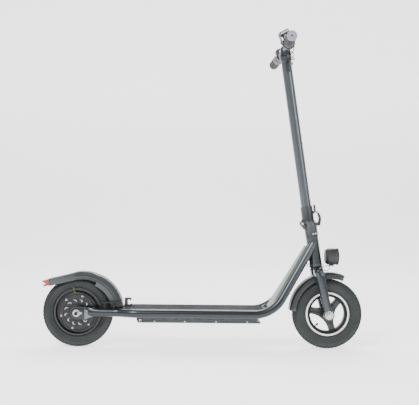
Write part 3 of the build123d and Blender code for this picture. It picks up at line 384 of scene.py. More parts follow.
def bevelled(
    bm: bmesh.types.BMesh, width: float, segments: int = 2, angle: float = 30.0
) -> bmesh.types.BMesh:
    """Rounds every edge sharper than an angle.

    Args:
        bm: The mesh, changed in place.
        width: The bevel's width in millimetres.
        segments: Steps across each bevel.
        angle: Edges that turn more than this many degrees are rounded.

    Returns:
        The same mesh.
    """
    keen = [e for e in bm.edges if len(e.link_faces) == 2 and e.calc_face_angle(0.0) > math.radians(angle)]
    bmesh.ops.bevel(bm, geom=keen, offset=width * MM, affect="EDGES", segments=segments, profile=0.5,
                    material=-1, clamp_overlap=True)
    return bm


def turned_part(profile: Outline, place: Matrix, steps: int = 96) -> bmesh.types.BMesh:
    """Turns a closed outline about the place's z.

    Args:
        profile: Corners of radius and height in millimetres.
        place: Where the part goes.
        steps: Faces around.

    Returns:
        The turned mesh.
    """
    bm = bmesh.new()
    corners = [bm.verts.new((max(r, 0.001) * MM, 0, h * MM)) for r, h in profile]
    edges = [bm.edges.new((corners[i], corners[(i + 1) % len(corners)])) for i in range(len(corners))]
    bmesh.ops.spin(bm, geom=corners + edges, cent=(0, 0, 0), axis=(0, 0, 1), angle=2 * math.pi, steps=steps,
                   use_merge=True, use_duplicate=False)
    bmesh.ops.remove_doubles(bm, verts=bm.verts, dist=0.00001)
    bmesh.ops.recalc_face_normals(bm, faces=bm.faces)
    bm.transform(place)
    return bm


def cut_plate(outline: Outline, thickness: float, place: Matrix, bevel: float = 0.4) -> bmesh.types.BMesh:
    """Raises an outline into a plate with rounded edges.

    Args:
        outline: Corners across the place's x and y, in millimetres.
        thickness: Height along z, in millimetres.
        place: Where the plate's lower face goes.
        bevel: Width of the edge rounding in millimetres.

    Returns:
        The plate.
    """
    bm = bmesh.new()
    face = bm.faces.new([bm.verts.new((x * MM, y * MM, 0)) for x, y in outline])
    raised = bmesh.ops.extrude_face_region(bm, geom=[face])
    tops = [v for v in raised["geom"] if isinstance(v, bmesh.types.BMVert)]
    bmesh.ops.translate(bm, verts=tops, vec=(0, 0, thickness * MM))
    bmesh.ops.recalc_face_normals(bm, faces=bm.faces)
    if bevel:
        bevelled(bm, bevel)
    bm.transform(place)
    return bm


def block(size: Point, place: Matrix, bevel: float = 1.0) -> bmesh.types.BMesh:
    """Makes a block of a size in millimetres with rounded edges, centred on a place."""
    bm = bmesh.new()
    bmesh.ops.create_cube(bm, size=1.0, matrix=Matrix.Diagonal((*(s * MM for s in size), 1)))
    bevelled(bm, bevel)
    bm.transform(place)
    return bm


def rod(
    place: Matrix, radius: float, length: float, bevel: float = 0.4, sides: int = 32
) -> bmesh.types.BMesh:
    """Makes a rod that stands on a place, from a radius and a length in millimetres."""
    bm = bmesh.new()
    bmesh.ops.create_cone(bm, cap_ends=True, segments=sides, radius1=radius * MM, radius2=radius * MM,
                          depth=length * MM, matrix=Matrix.Translation((0, 0, length * MM / 2)))
    bevelled(bm, bevel, angle=50)
    bm.transform(place)
    return bm


def socket_screw(place: Matrix, radius: float, height: float, socket: float = 0.5) -> bmesh.types.BMesh:
    """Makes a screw head with a hexagon socket.

    Args:
        place: Where the head's underside goes.
        radius: Head radius in millimetres.
        height: Head height in millimetres.
        socket: The socket's share of the head's radius.

    Returns:
        The screw head.
    """
    bm = bmesh.new()
    bmesh.ops.create_circle(bm, cap_ends=True, segments=6, radius=radius * socket * MM,
                            matrix=Matrix.Translation((0, 0, height * 0.35 * MM)))
    walls = bmesh.ops.extrude_edge_only(bm, edges=list(bm.edges))
    top_edges = [e for e in walls["geom"] if isinstance(e, bmesh.types.BMEdge)]
    top_verts = [v for v in walls["geom"] if isinstance(v, bmesh.types.BMVert)]
    bmesh.ops.translate(bm, verts=top_verts, vec=(0, 0, height * 0.65 * MM))
    outer = bmesh.ops.create_circle(bm, cap_ends=False, segments=24, radius=radius * MM,
                                    matrix=Matrix.Translation((0, 0, height * MM)))
    outer_edges = list({e for v in outer["verts"] for e in v.link_edges})
    inner_edges = [e for e in top_edges if all(v in top_verts for v in e.verts)]
    bmesh.ops.bridge_loops(bm, edges=inner_edges + outer_edges)
    side = bmesh.ops.extrude_edge_only(bm, edges=outer_edges)
    feet = [v for v in side["geom"] if isinstance(v, bmesh.types.BMVert)]
    bmesh.ops.translate(bm, verts=feet, vec=(0, 0, -height * MM))
    bmesh.ops.contextual_create(bm, geom=feet)
    bmesh.ops.recalc_face_normals(bm, faces=bm.faces)
    bevelled(bm, radius * 0.08, angle=60)
    bm.transform(place)
    return bm


def together(parts: Iterable[bmesh.types.BMesh]) -> bmesh.types.BMesh:
    """Joins several meshes into one.

    Args:
        parts: The meshes, freed when they are joined.

    Returns:
        One mesh with all their faces.
    """
    whole = bmesh.new()
    for part in parts:
        scratch = bpy.data.meshes.new("scratch")
        part.to_mesh(scratch)
        part.free()
        whole.from_mesh(scratch)
        bpy.data.meshes.remove(scratch)
    return whole


def show(
    name: str,
    bm: bmesh.types.BMesh,
    finish: Finish,
    body: str,
    stands_for: Sequence[str] = (),
    smooth: float = 35.0,
) -> bpy.types.Object:
    """Turns a mesh into a shown piece that rides on a body.

    Args:
        name: The piece's name.
        bm: Its mesh, freed here.
        finish: Its finish.
        body: The body it moves with.
        stands_for: CAD nodes that it replaces.
        smooth: Edges that turn less than this many degrees look smooth.

    Returns:
        The new object.
    """
    mesh = bpy.data.meshes.new(name)
    bm.to_mesh(mesh)
    bm.free()
    mesh.polygons.foreach_set("use_smooth", [True] * len(mesh.polygons))
    mesh.set_sharp_from_angle(angle=math.radians(smooth))
    piece = bpy.data.objects.new(name, mesh)
    bpy.context.scene.collection.objects.link(piece)
    mesh.materials.append(finish.material())
    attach(piece, body)
    if stands_for:
        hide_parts(*stands_for)
    LOG.info("%s: %d faces on %s", name, len(mesh.polygons), body)
    return piece


def dress_cad_nodes() -> None:
    """Gives each carried-over CAD node its finish."""
    for finish, names in CAD_FINISHES.items():
        for name in names:
            mesh = frame["nodes"][name].data
            mesh.materials.clear()
            mesh.materials.append(finish.material())
            LOG.info("%s: %s", name, finish.name)


# ---------------------------------------------------------------- wheels
@dataclass
class PneumaticTyre:
    """A ten inch tyre: carcass, sidewall ribs and tread blocks, with lengths in millimetres."""

    name: str
    centre: Vector
    bead: float
    body: str
    node: str
    bead_half: float = 18.6
    blocks: int = 54

    def carcass(self) -> bmesh.types.BMesh:
        """Turns the casing with its ribs and tread grooves."""
        side = [
            (self.bead, self.bead_half), (self.bead + 4, self.bead_half + 0.9), (self.bead + 6, 23.4),
            (self.bead + 8, 24.4), (self.bead + 9, 24.1), (self.bead + 11, 25.6), (self.bead + 12.5, 26.2),
            (self.bead + 13.5, 25.9), (101.0, 28.2), (104.0, 28.9), (107.0, 28.7), (108.0, 28.1),
            (109.0, 28.5), (112.5, 26.9), (115.5, 25.0), (117.5, 23.2), (121.2, 20.3), (123.9, 18.0),
        ]
        tread = [
            (124.6, 14.6), (124.2, 8.6), (126.6, 8.2), (126.9, 5.2), (124.4, 4.8), (124.4, 2.0), (126.9, 1.6),
        ]
        half = side + tread
        inner = [(self.bead + 5, 12.0), (105, 23.4), (116, 14)]
        profile = half + [(r, -h) for r, h in reversed(half)]
        profile += [(self.bead, -12.0)] + [(r, -h) for r, h in inner] + [(r, h) for r, h in reversed(inner)]
        profile += [(self.bead, 12.0)]
        return turned_part(profile, wheel_place(self.centre, 0), steps=144)

    def shoulder_blocks(self) -> bmesh.types.BMesh:
        """Sets rounded blocks round both shoulders, the two rows half a step apart."""
        whole = bmesh.new()
        for hand, shift in ((1, 0.0), (-1, 0.5)):
            for kind, radius, side, size in (
                ("shoulder", 122.0, 19.3, (5.6, 4.6, 8.0)), ("crown", 124.6, 11.6, (4.2, 6.0, 8.4)),
            ):
                offset = shift + (0.5 if kind == "crown" else 0.0)
                for i in range(self.blocks):
                    angle = 360 * (i + offset) / self.blocks
                    turn = Matrix.Rotation(-math.radians(angle), 4, "Y")
                    place = (
                        Matrix.Translation(self.centre)
                        @ turn
                        @ Matrix.Translation((radius * MM, hand * side * MM, 0))
                        @ Matrix.Rotation(math.radians(34 * hand if kind == "shoulder" else 0), 4, "Z")
                        @ Matrix.Rotation(math.radians(14 * hand), 4, "X")
                        @ Matrix.Diagonal((*(s * MM for s in size), 1))
                    )
                    bmesh.ops.create_cube(whole, size=1.0, matrix=place)
        bevelled(whole, 0.5, segments=1)
        return whole

    def build(self) -> None:
        """Builds the whole tyre as one piece in place of its plain solid."""
        parts = [self.carcass(), self.shoulder_blocks()]
        show(self.name, together(parts), TYRE, self.body, [self.node], smooth=28)


@dataclass
class FrontWheel:
    """Dressing of the cast front wheel, with lengths in millimetres."""

    ring_in: float = 73.2
    ring_out: float = 79.6
    face: float = 21.6
    teeth: int = 30
    dust_face: float = 31.0
    spoke_start: float = 55.0
    valve_angle: float = 229.0
    valve_radius: float = 72.0

    def flange_rings(self) -> None:
        """Paints the two flange rings as thin raised bands."""
        parts = []
        for hand in (-1, 1):
            place = sided_place(FRONT, hand, self.face)
            profile = [
                (self.ring_in, -1.0), (self.ring_in, 0.3), (self.ring_in + 0.8, 0.9),
                (self.ring_out - 0.8, 0.9), (self.ring_out, 0.3), (self.ring_out, -1.0),
            ]
            parts.append(turned_part(profile, place, steps=120))
        show("front_flange_bands", together(parts), WHITE_COAT, "front_wheel")

    def hub_ring(self) -> None:
        """Builds the toothed dust ring between the hub and the fork's lugs."""
        parts = []
        for hand in (-1, 1):
            place = sided_place(FRONT, hand, self.dust_face)
            ring = [(10.6, 0), (10.6, 3.0), (19.4, 3.0), (20.4, 2.0), (20.4, 0)]
            parts.append(turned_part(ring, place, steps=60))
            teeth = bmesh.new()
            tooth = Matrix.Translation((20.6 * MM, 0, 1.5 * MM))
            tooth @= Matrix.Diagonal((2.0 * MM, 2.2 * MM, 2.6 * MM, 1))
            for i in range(self.teeth):
                at = place @ Matrix.Rotation(2 * math.pi * i / self.teeth, 4, "Z")
                bmesh.ops.create_cube(teeth, size=1.0, matrix=at @ tooth)
            parts.append(bevelled(teeth, 0.3, segments=1))
        show("front_dust_rings", together(parts), BLACK_COAT, "front_wheel")

    def valve(self) -> None:
        """Stands the valve on the rim, with its cap toward the hub."""
        place = wheel_place(FRONT, 0, self.valve_angle, self.valve_radius)
        inward = place @ TO_REAR
        stem = turned_part([(0, 0), (3.6, 0), (3.6, 4), (2.4, 5.4), (2.2, 14), (0, 14)], inward, steps=32)
        show("front_valve_stem", stem, BRASS, "front_wheel")
        cap_profile = [(0, 13), (3.5, 13), (3.9, 14), (3.9, 21), (3.2, 23.5), (1.6, 24.4), (0, 24.4)]
        cap = turned_part(cap_profile, inward, steps=32)
        show("front_valve_cap", cap, NYLON, "front_wheel")

    def spoke_ribs(self) -> None:
        """Lays a raised rib along each side of each spoke's crest."""
        parts = []
        for spoke in range(3):
            for hand in (-1, 1):
                place = sided_place(FRONT, hand, 12.0, self.spoke_start + 120 * spoke, 46)
                parts.append(block((34, 5.2, 2.4), place, 1.0))
        show("front_spoke_ribs", together(parts), CAST_PAINT, "front_wheel")

    def cap_nuts(self) -> None:
        """Fits the bright domed caps over the axle's ends."""
        lo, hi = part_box("front_axle_nuts")
        profile = [(0, -2), (8.6, -2), (8.8, 0), (8.2, 1.4), (6.6, 2.4), (4.0, 2.9), (0, 3.0)]
        parts = []
        for hand, end in ((-1, -lo.y), (1, hi.y)):
            parts.append(turned_part(profile, sided_place(FRONT, hand, end / MM - 3.0), 48))
        show("front_cap_domes", together(parts), PLATED, "steering")

    def build(self) -> None:
        """Builds the tyre and everything on the wheel."""
        PneumaticTyre("front_tyre_treaded", FRONT, 77.0, "front_wheel", "front_tyre").build()
        self.flange_rings()
        self.hub_ring()
        self.valve()
        self.spoke_ribs()
        self.cap_nuts()


@dataclass
class RearWheel:
    """Dressing of the hub motor wheel, with lengths in millimetres."""

    cover_face: float = -27.0
    lip_face: float = -21.5
    valve_at: Point = (-16.0, 100.0, 72.0)
    vents: int = 12
    vent_circle: float = 40.5
    screws: int = 6
    screw_circle: float = 60.0
    screw_start: float = 13.0
    scoop_radius: float = 6.8
    disc_bolt_count: int = 6

    def vent_scoops(self) -> None:
        """Builds the ring of bright crescent scoops on the motor cover."""
        parts = []
        for i in range(self.vents):
            angle = 15 + 360 * i / self.vents
            place = wheel_place(REAR, self.cover_face - 1.4, angle, self.vent_circle)
            outline = []
            for step in range(13):
                a = math.radians(-145 + 190 * step / 12)
                outline.append((self.scoop_radius * math.cos(a), self.scoop_radius * math.sin(a)))
            for step in range(1, 12):
                a = math.radians(45 - 190 * step / 12)
                reach = self.scoop_radius * (1 - 0.5 * math.sin(math.pi * step / 12)) * 0.98
                outline.append((reach * math.cos(a), reach * math.sin(a)))
            parts.append(cut_plate(outline, 1.5, place, bevel=0.25))
        show("motor_cover_scoops", together(parts), PLATED, "rear_wheel")

    def cover_screws(self) -> None:
        """Sets the bright screws round the cover's rim."""
        parts = []
        for i in range(self.screws):
            angle = self.screw_start + 360 * i / self.screws
            parts.append(socket_screw(wheel_place(REAR, self.cover_face, angle, self.screw_circle), 3.5, 2.6))
        show("motor_cover_screws", together(parts), PLATED, "rear_wheel")

    def cover_rings(self) -> None:
        """Turns the cover's stepped rings, so that its face is not flat."""
        place = wheel_place(REAR, self.cover_face)
        lip_place = wheel_place(REAR, self.lip_face)
        outer = [(50.5, -1), (50.5, 1.0), (51.6, 1.8), (53.4, 1.8), (54.4, 1.0), (54.4, -1)]
        inner = [(29.0, -1), (29.0, 1.6), (30.2, 2.6), (31.8, 2.6), (33, 1.6), (33, -1)]
        lip = [(64.2, -1), (64.2, 1.2), (65.6, 2.0), (68.2, 2.0), (69.6, 1.0), (69.6, -1)]
        rings = together([turned_part(outer, place), turned_part(inner, place), turned_part(lip, lip_place)])
        show("motor_cover_rings", rings, CAST_PAINT, "rear_wheel")

    def valve(self) -> None:
        """Bends the brass valve out of the rim past the cover."""
        place = wheel_place(REAR, *self.valve_at)
        tilt = place @ Matrix.Rotation(math.radians(62), 4, "Y")
        parts = [
            turned_part([(0, -2), (4.2, -2), (4.2, 2), (3.0, 3.4), (0, 3.4)], place, 32),
            turned_part([(0, 0), (2.5, 0), (2.5, 13), (2.2, 14), (0, 14)], tilt, 32),
            turned_part([(0, 13), (3.1, 13), (3.4, 14), (3.4, 19.5), (2.6, 21), (0, 21)], tilt, 32),
        ]
        show("rear_valve", together(parts), BRASS, "rear_wheel")

    def disc_bolts(self) -> None:
        """Sets the brake disc's bolts on the left side."""
        parts = []
        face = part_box("brake_disc")[1].y / MM
        for i in range(self.disc_bolt_count):
            place = wheel_place(REAR, face, 60 * i + 10, 22) @ FLIP
            parts.append(socket_screw(place, 3.6, 2.4))
        show("brake_disc_bolts", together(parts), PLATED, "rear_wheel")

    def build(self) -> None:
        """Builds the tyre and everything on the motor."""
        PneumaticTyre("rear_tyre_treaded", REAR, 84.0, "rear_wheel", "rear_tyre").build()
        self.vent_scoops()
        self.cover_screws()
        self.cover_rings()
        self.valve()
        self.disc_bolts()


# ---------------------------------------------------------------- chassis
@dataclass
class FrameTrim:
    """Trim on the frame tubes, the deck and the battery housing, with lengths in millimetres."""

    plate_side: float = 60.4
    plate_radius: float = 21.0
    gusset_from: float = 29.0
    gusset_to: float = 71.0
    bead_ring: float = 22.2
    bead_radius: float = 1.5
    beads_up: tuple[float, float] = (22.0, 88.0)
    vents: int = 9
    mat_ribs: int = 19

    def dropouts(self) -> None:
        """Covers each dropout with a black plate and faces the paddle with a flat gusset whose pale colour is
        painted highlight.
        """
        skins, gussets, ends = [], [], []
        for hand in (-1, 1):
            place = wheel_place(REAR, hand * self.plate_side)
            if hand > 0:
                place = place @ Matrix.Diagonal((1, 1, -1, 1))
            round_end = [
                (self.plate_radius * math.cos(math.radians(a)), self.plate_radius * math.sin(math.radians(a)))
                for a in range(90, 271, 15)
            ]
            skin = [*round_end, (self.gusset_from, -20.0), (self.gusset_from, 18.0)]
            gusset = [(self.gusset_from, -23.5), (self.gusset_to, -5.5), (self.gusset_to, -3.0),
                      (self.gusset_from, 15.0)]
            skins.append(cut_plate(skin, 0.9, place, 0.3))
            gussets.append(cut_plate(gusset, 1.6, place, 0.4))
            ends.append(turned_part([(0, 15), (6.4, 15), (6.4, 19.4), (5.6, 20.2), (0, 20.2)], place, 32))
            if hand > 0:
                for part in (skins[-1], gussets[-1], ends[-1]):
                    bmesh.ops.reverse_faces(part, faces=part.faces)
        show("dropout_plates", together(skins), CAST_PAINT, "chassis")
        # The gussets' pale coat is painted highlight.
        show("paddle_gussets", together(gussets), GUSSET_HIGHLIGHT_PAINT, "chassis")
        show("rear_axle_ends", together(ends), BLACK_COAT, "chassis")

    def weld_beads(self) -> None:
        """Lays rippled weld beads where the legs meet the head tube."""
        parts = []
        turns = [math.radians(a) for a in range(0, 360, 45)]
        ring = [
            (self.bead_ring + self.bead_radius * math.cos(a), self.bead_radius * math.sin(a)) for a in turns
        ]
        for up in self.beads_up:
            parts.append(turned_part(ring, raked_place(0, 0, up), steps=72))
        show("head_tube_beads", together(parts), PAINT, "chassis")

    def housing_trim(self) -> None:
        """Adds the housing's seam lip, its vents and the charge port's cap."""
        lo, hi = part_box("battery_housing")
        length = (hi.x - lo.x) / MM
        parts = []
        for side in (lo.y, hi.y):
            place = Matrix.Translation(((lo.x + hi.x) / 2, side, lo.z + 7 * MM))
            parts.append(block((length - 26, 1.6, 2.0), place, 0.6))
            for i in range(self.vents):
                along = 60 + i * (length - 120) / (self.vents - 1)
                at = Matrix.Translation((lo.x + along * MM, side, lo.z + 13 * MM))
                parts.append(block((14, 1.4, 3.0), at, 0.5))
        show("housing_seams", together(parts), HOUSING, "chassis")
        port_lo, port_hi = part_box("charge_socket")
        centre = (port_lo + port_hi) / 2
        face = Matrix.Translation((centre.x, port_lo.y, centre.z)) @ TO_RIGHT
        ring = turned_part([(5.0, -0.5), (5.0, 0.9), (7.6, 0.9), (8.4, 0.2), (8.4, -0.5)], face, 48)
        show("charge_port_bezel", ring, NYLON, "chassis")

    def deck_ribs(self) -> None:
        """Moulds the mat's lengthwise ribs and a border rib."""
        lo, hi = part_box("deck_mat")
        parts = []
        for i in range(self.mat_ribs):
            y = lo.y + (hi.y - lo.y) * (i + 1) / (self.mat_ribs + 1)
            inset = 26 if abs(y) > 0.055 else 12
            place = Matrix.Translation(((lo.x + hi.x) / 2, y, hi.z + 0.2 * MM))
            parts.append(block(((hi.x - lo.x) / MM - 2 * inset, 2.2, 1.4), place, 0.5))
        show("deck_mat_ribs", together(parts), DECK_RUBBER, "chassis")
        edges = []
        for hand in (-1, 1):
            side = lo.y if hand < 0 else hi.y
            place = Matrix.Translation(((lo.x + hi.x) / 2, side + hand * 1.0 * MM, hi.z - 0.9 * MM))
            edges.append(block(((hi.x - lo.x) / MM - 60, 1.6, 1.4), place, 0.5))
        show("deck_edge_strips", together(edges), DECK_ALLOY, "chassis")

    def build(self) -> None:
        """Builds all the trim."""
        self.dropouts()
        self.weld_beads()
        self.housing_trim()
        self.deck_ribs()


@dataclass
class RearFenderTrim:
    """The rear fender's raised band, grip ribs, side skirts and light, with lengths in millimetres."""

    centre_shift: tuple[float, float] = (18.0, -3.0)
    crown: float = 147.0
    half_width: float = 37.0
    skirt_side: tuple[float, float] = (33.4, 36.0)
    skirt_radii: tuple[float, float] = (108.0, 124.0)
    rib_count: int = 7
    rib_start: float = 20.0
    rib_step: float = 7.0
    cells: int = 5
    cell_step: float = 10.0

    def centre(self) -> Vector:
        """Gives the middle of the fender's arc."""
        return REAR + Vector((self.centre_shift[0] * MM, 0, self.centre_shift[1] * MM))

    def arc_band(self, corners: Outline, start: float, end: float, steps: int) -> bmesh.types.BMesh:
        """Sweeps a closed section of radius and side along part of the fender's arc.

        Args:
            corners: The section's corners as radius and side.
            start: First angle in degrees up from the front.
            end: Last angle in degrees.
            steps: Faces along the arc.

        Returns:
            The band, closed at both ends.
        """
        bm = bmesh.new()
        centre = self.centre()
        a = math.radians(start)
        points = [(r * MM * math.cos(a), side * MM, r * MM * math.sin(a)) for r, side in corners]
        face = bm.faces.new([bm.verts.new(centre + Vector(point)) for point in points])
        bmesh.ops.spin(bm, geom=[face], cent=centre, axis=(0, -1, 0), angle=math.radians(end - start),
                       steps=steps, use_duplicate=False)
        bmesh.ops.remove_doubles(bm, verts=bm.verts, dist=0.00001)
        bmesh.ops.recalc_face_normals(bm, faces=bm.faces)
        return bm

    def skirts(self) -> None:
        """Closes the front part of the fender's sides down to the tyre."""
        parts = []
        for hand in (-1, 1):
            inner, outer = sorted(hand * side for side in self.skirt_side)
            low, high = self.skirt_radii
            corners = [(low, inner), (high, inner), (high, outer), (low, outer)]
            parts.append(self.arc_band(corners, 12, 66, 18))
        show("rear_fender_skirts", together(parts), FENDER, "chassis")

    def grip_ribs(self) -> None:
        """Raises the scalloped cross ribs on the fender's front part, where a foot may press it."""
        parts = []
        for i in range(self.rib_count):
            at = self.rib_start + self.rib_step * i
            for sub, top in ((-1.6, 0.9), (0.0, 1.6), (1.6, 0.9)):
                crest = self.crown + top
                corners = [(146.4, -27), (crest, -26), (crest, 26), (146.4, 27)]
                parts.append(self.arc_band(corners, at + sub - 0.8, at + sub + 0.8, 2))
        show("rear_fender_grip_ribs", together(parts), FENDER, "chassis")

    def crown_band(self) -> None:
        """Raises a smooth band along the crown and a crease along each skirt."""
        parts = [self.arc_band([(146.5, -24), (148.6, -22), (148.6, 22), (146.5, 24)], 76, 103, 16)]
        for hand in (-1, 1):
            side = hand * self.half_width
            crease = [(129, side - 0.5 * hand), (131, side + 1.2 * hand), (133, side - 0.5 * hand)]
            parts.append(self.arc_band(crease, 12, 103, 40))
        show("rear_fender_band", together(parts), FENDER, "chassis")

    def light(self) -> None:
        """Puts the bright cells in the tail light."""
        lo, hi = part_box("tail_light")
        middle = (lo + hi) / 2
        parts = []
        for i in range(self.cells):
            side = self.cell_step * (i - (self.cells - 1) / 2)
            place = Matrix.Translation((middle.x - 3 * MM, side * MM, middle.z + 1 * MM))
            parts.append(block((9, 7, 7), place, 1.2))
        show("tail_light_cells", together(parts), AMBER_LENS, "chassis")

    def build(self) -> None:
        """Builds all the fender's trim."""
        self.skirts()
        self.grip_ribs()
        self.crown_band()
        self.light()


@dataclass
class BrakeTrim:
    """Bolts on the rear brake and the kickstand, with lengths in millimetres."""

    def build(self) -> None:
        """Sets the caliper's bolts and the kickstand's pivot bolt."""
        lo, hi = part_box("brake_caliper")
        parts = []
        for share in (0.25, 0.75):
            at = Matrix.Translation((lo.x + (hi.x - lo.x) * share, hi.y - 0.5 * MM, (lo.z + hi.z) / 2))
            parts.append(socket_screw(at @ TO_LEFT, 3.6, 3.2))
        stand = joint_vector("stand_swing")
        pivot = Matrix.Translation(stand + Vector((0, 6 * MM, 0))) @ TO_LEFT
        parts.append(socket_screw(pivot, 5.0, 3.0))
        show("left_side_bolts", together(parts), PLATED, "chassis")


# ---------------------------------------------------------------- steering, fold and light
@dataclass
class SteeringTrim:
    """Trim on the fork, the fold and its lock, with lengths in millimetres.

    A pair of numbers is a point beside the steering axis: ahead and up, as in raked_place.
    """

    fork_half_track: float = 52.5
    sleeve_top: float = 17.2
    sleeve_foot: float = 14.6
    sleeve_short_of_axle: float = 16.0
    cap_bolts: tuple[float, float] = (3.0, 12.0)
    hinge: tuple[float, float] = (-30.5, 161.9)
    lever_pivot: tuple[float, float] = (31.6, 153.0)
    roller: tuple[float, float] = (31.0, 196.0)
    catch_pivot: tuple[float, float] = (23.2, 197.0)
    light_radius: float = 30.0
    light_ribs: int = 4

    def fork_sleeves(self) -> None:
        """Shapes each fork leg as one tapered tube with a domed top."""
        parts = []
        for hand in (-1, 1):
            side = hand * self.fork_half_track
            top = raked_place(0, side, -12).to_translation()
            foot = FRONT + Vector((0, side * MM, 0))
            reach = (foot - top).length / MM - self.sleeve_short_of_axle
            dome = [(0, -9), (7, -8.2), (12.5, -5.4), (16, -1), (self.sleeve_top, 4)]
            profile = [*dome, (self.sleeve_top, 30), (self.sleeve_foot, reach), (0, reach)]
            parts.append(turned_part(profile, aimed(top, foot), 48))
        show("fork_leg_sleeves", together(parts), PAINT, "steering")

    def seals(self) -> None:
        """Turns the dust seal under the head tube and the cap rings over it."""
        seal = [(20, -2.6), (23.8, -2.2), (24.4, -0.6), (23.6, 0.4), (20, 0.4)]
        crown_ring = [(21, -1.6), (23.0, -1.6), (23.6, 0), (23.0, 1.6), (21, 1.6)]
        cap_ring = [(21, 0), (23.6, 0), (24.2, 1.4), (23.6, 2.8), (21, 2.8)]
        rings = ((seal, 1.2), (crown_ring, -9), (cap_ring, 109.2))
        parts = [turned_part(profile, raked_place(0, 0, up)) for profile, up in rings]
        show("steering_seals", together(parts), BLACK_COAT, "steering")

    def clamp_bolts(self) -> None:
        """Sets the cap's two clamp bolts on the right and the hinge bolt's sockets."""
        parts = []
        for ahead in self.cap_bolts:
            parts.append(socket_screw(raked_place(ahead, -21.8, 120) @ TO_RIGHT, 3.4, 4.0))
        ahead, up = self.hinge
        for hand, turn in ((-1, TO_RIGHT), (1, TO_LEFT)):
            parts.append(socket_screw(raked_place(ahead, hand * 19.6, up) @ turn, 4.6, 1.6))
        show("fold_bolts", together(parts), PLATED, "steering")

    def cross_rod(
        self, at: tuple[float, float], radius: float, half: float, bevel: float
    ) -> bmesh.types.BMesh:
        """Makes a rod across the steering plane from its point, radius and half length."""
        return rod(raked_place(at[0], -half, at[1]) @ TO_LEFT, radius, 2 * half, bevel)

    def cross_plate(
        self, at: tuple[float, float], outline: Outline, half: float, bevel: float
    ) -> bmesh.types.BMesh:
        """Makes a plate along the steering plane from its point, outline and half thickness."""
        return cut_plate(outline, 2 * half, raked_place(at[0], half, at[1]) @ TO_RIGHT, bevel)

    def lock(self) -> None:
        """Builds the lever's cam and roller and the catch's body."""
        web = [(-3.6, 2), (3.4, -3), (9.6, 17), (4.2, 41), (-2.4, 43), (2.4, 20)]
        cam = self.cross_rod(self.lever_pivot, 6.6, 6.6, 0.8)
        lever = together([cam, self.cross_plate(self.lever_pivot, web, 4.5, 0.8)])
        show("lock_lever_body", lever, BLACK_COAT, "lock_lever")
        roller = self.cross_rod(self.roller, 4.9, 8.6, 0.8)
        show("lock_roller", roller, PALE_ALLOY, "lock_lever")
        hook = [(-2.2, 0), (2.6, 3), (4.0, 12), (3.8, 26), (0.6, 29), (-2.0, 25)]
        catch = self.cross_plate(self.catch_pivot, hook, 7.5, 0.9)
        show("catch_body", catch, NYLON, "safety_catch")
        show("catch_pin", self.cross_rod(self.catch_pivot, 1.9, 9.4, 0.3), PLATED, "safety_catch")

    def light_trim(self) -> None:
        """Adds the headlight's bezel, ribs, visor and inner reflector."""
        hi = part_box("headlight_housing")[1]
        face = Matrix.Translation((hi.x, 0, hi.z - self.light_radius * MM)) @ TO_FRONT
        bezel = [(26.3, -5), (30.0, -7), (30.9, -5), (30.9, -1.2), (29.8, -0.1), (26.3, -0.1)]
        parts = [turned_part(bezel, face)]
        for i in range(self.light_ribs):
            at = -14.0 - 5.0 * i
            rib = [(29.4, at), (30.5, at + 0.5), (30.5, at + 2.0), (29.4, at + 2.5)]
            parts.append(turned_part(rib, face))
        show("headlight_ribs", together(parts), NYLON, "steering")
        brow = Matrix.Translation((hi.x - 1.6 * MM, 0, hi.z - 3.4 * MM))
        brow @= Matrix.Rotation(math.radians(-7), 4, "Y")
        visor = [(-26, -19), (-12, -21), (1.0, -20), (1.0, 20), (-12, 21), (-26, 19)]
        show("headlight_visor", cut_plate(visor, 3.0, brow), NYLON, "steering")
        back = [(4, -21), (14, -20), (21, -15), (25.4, -8.2)]
        bowl = [*back, (24.6, -8.0), (20, -14), (13.4, -18.6), (4, -19.6)]
        show("headlight_reflector", turned_part(bowl, face), REFLECTOR, "steering")

    def build(self) -> None:
        """Builds all the trim."""
        self.fork_sleeves()
        self.seals()
        self.clamp_bolts()
        self.lock()
        self.light_trim()


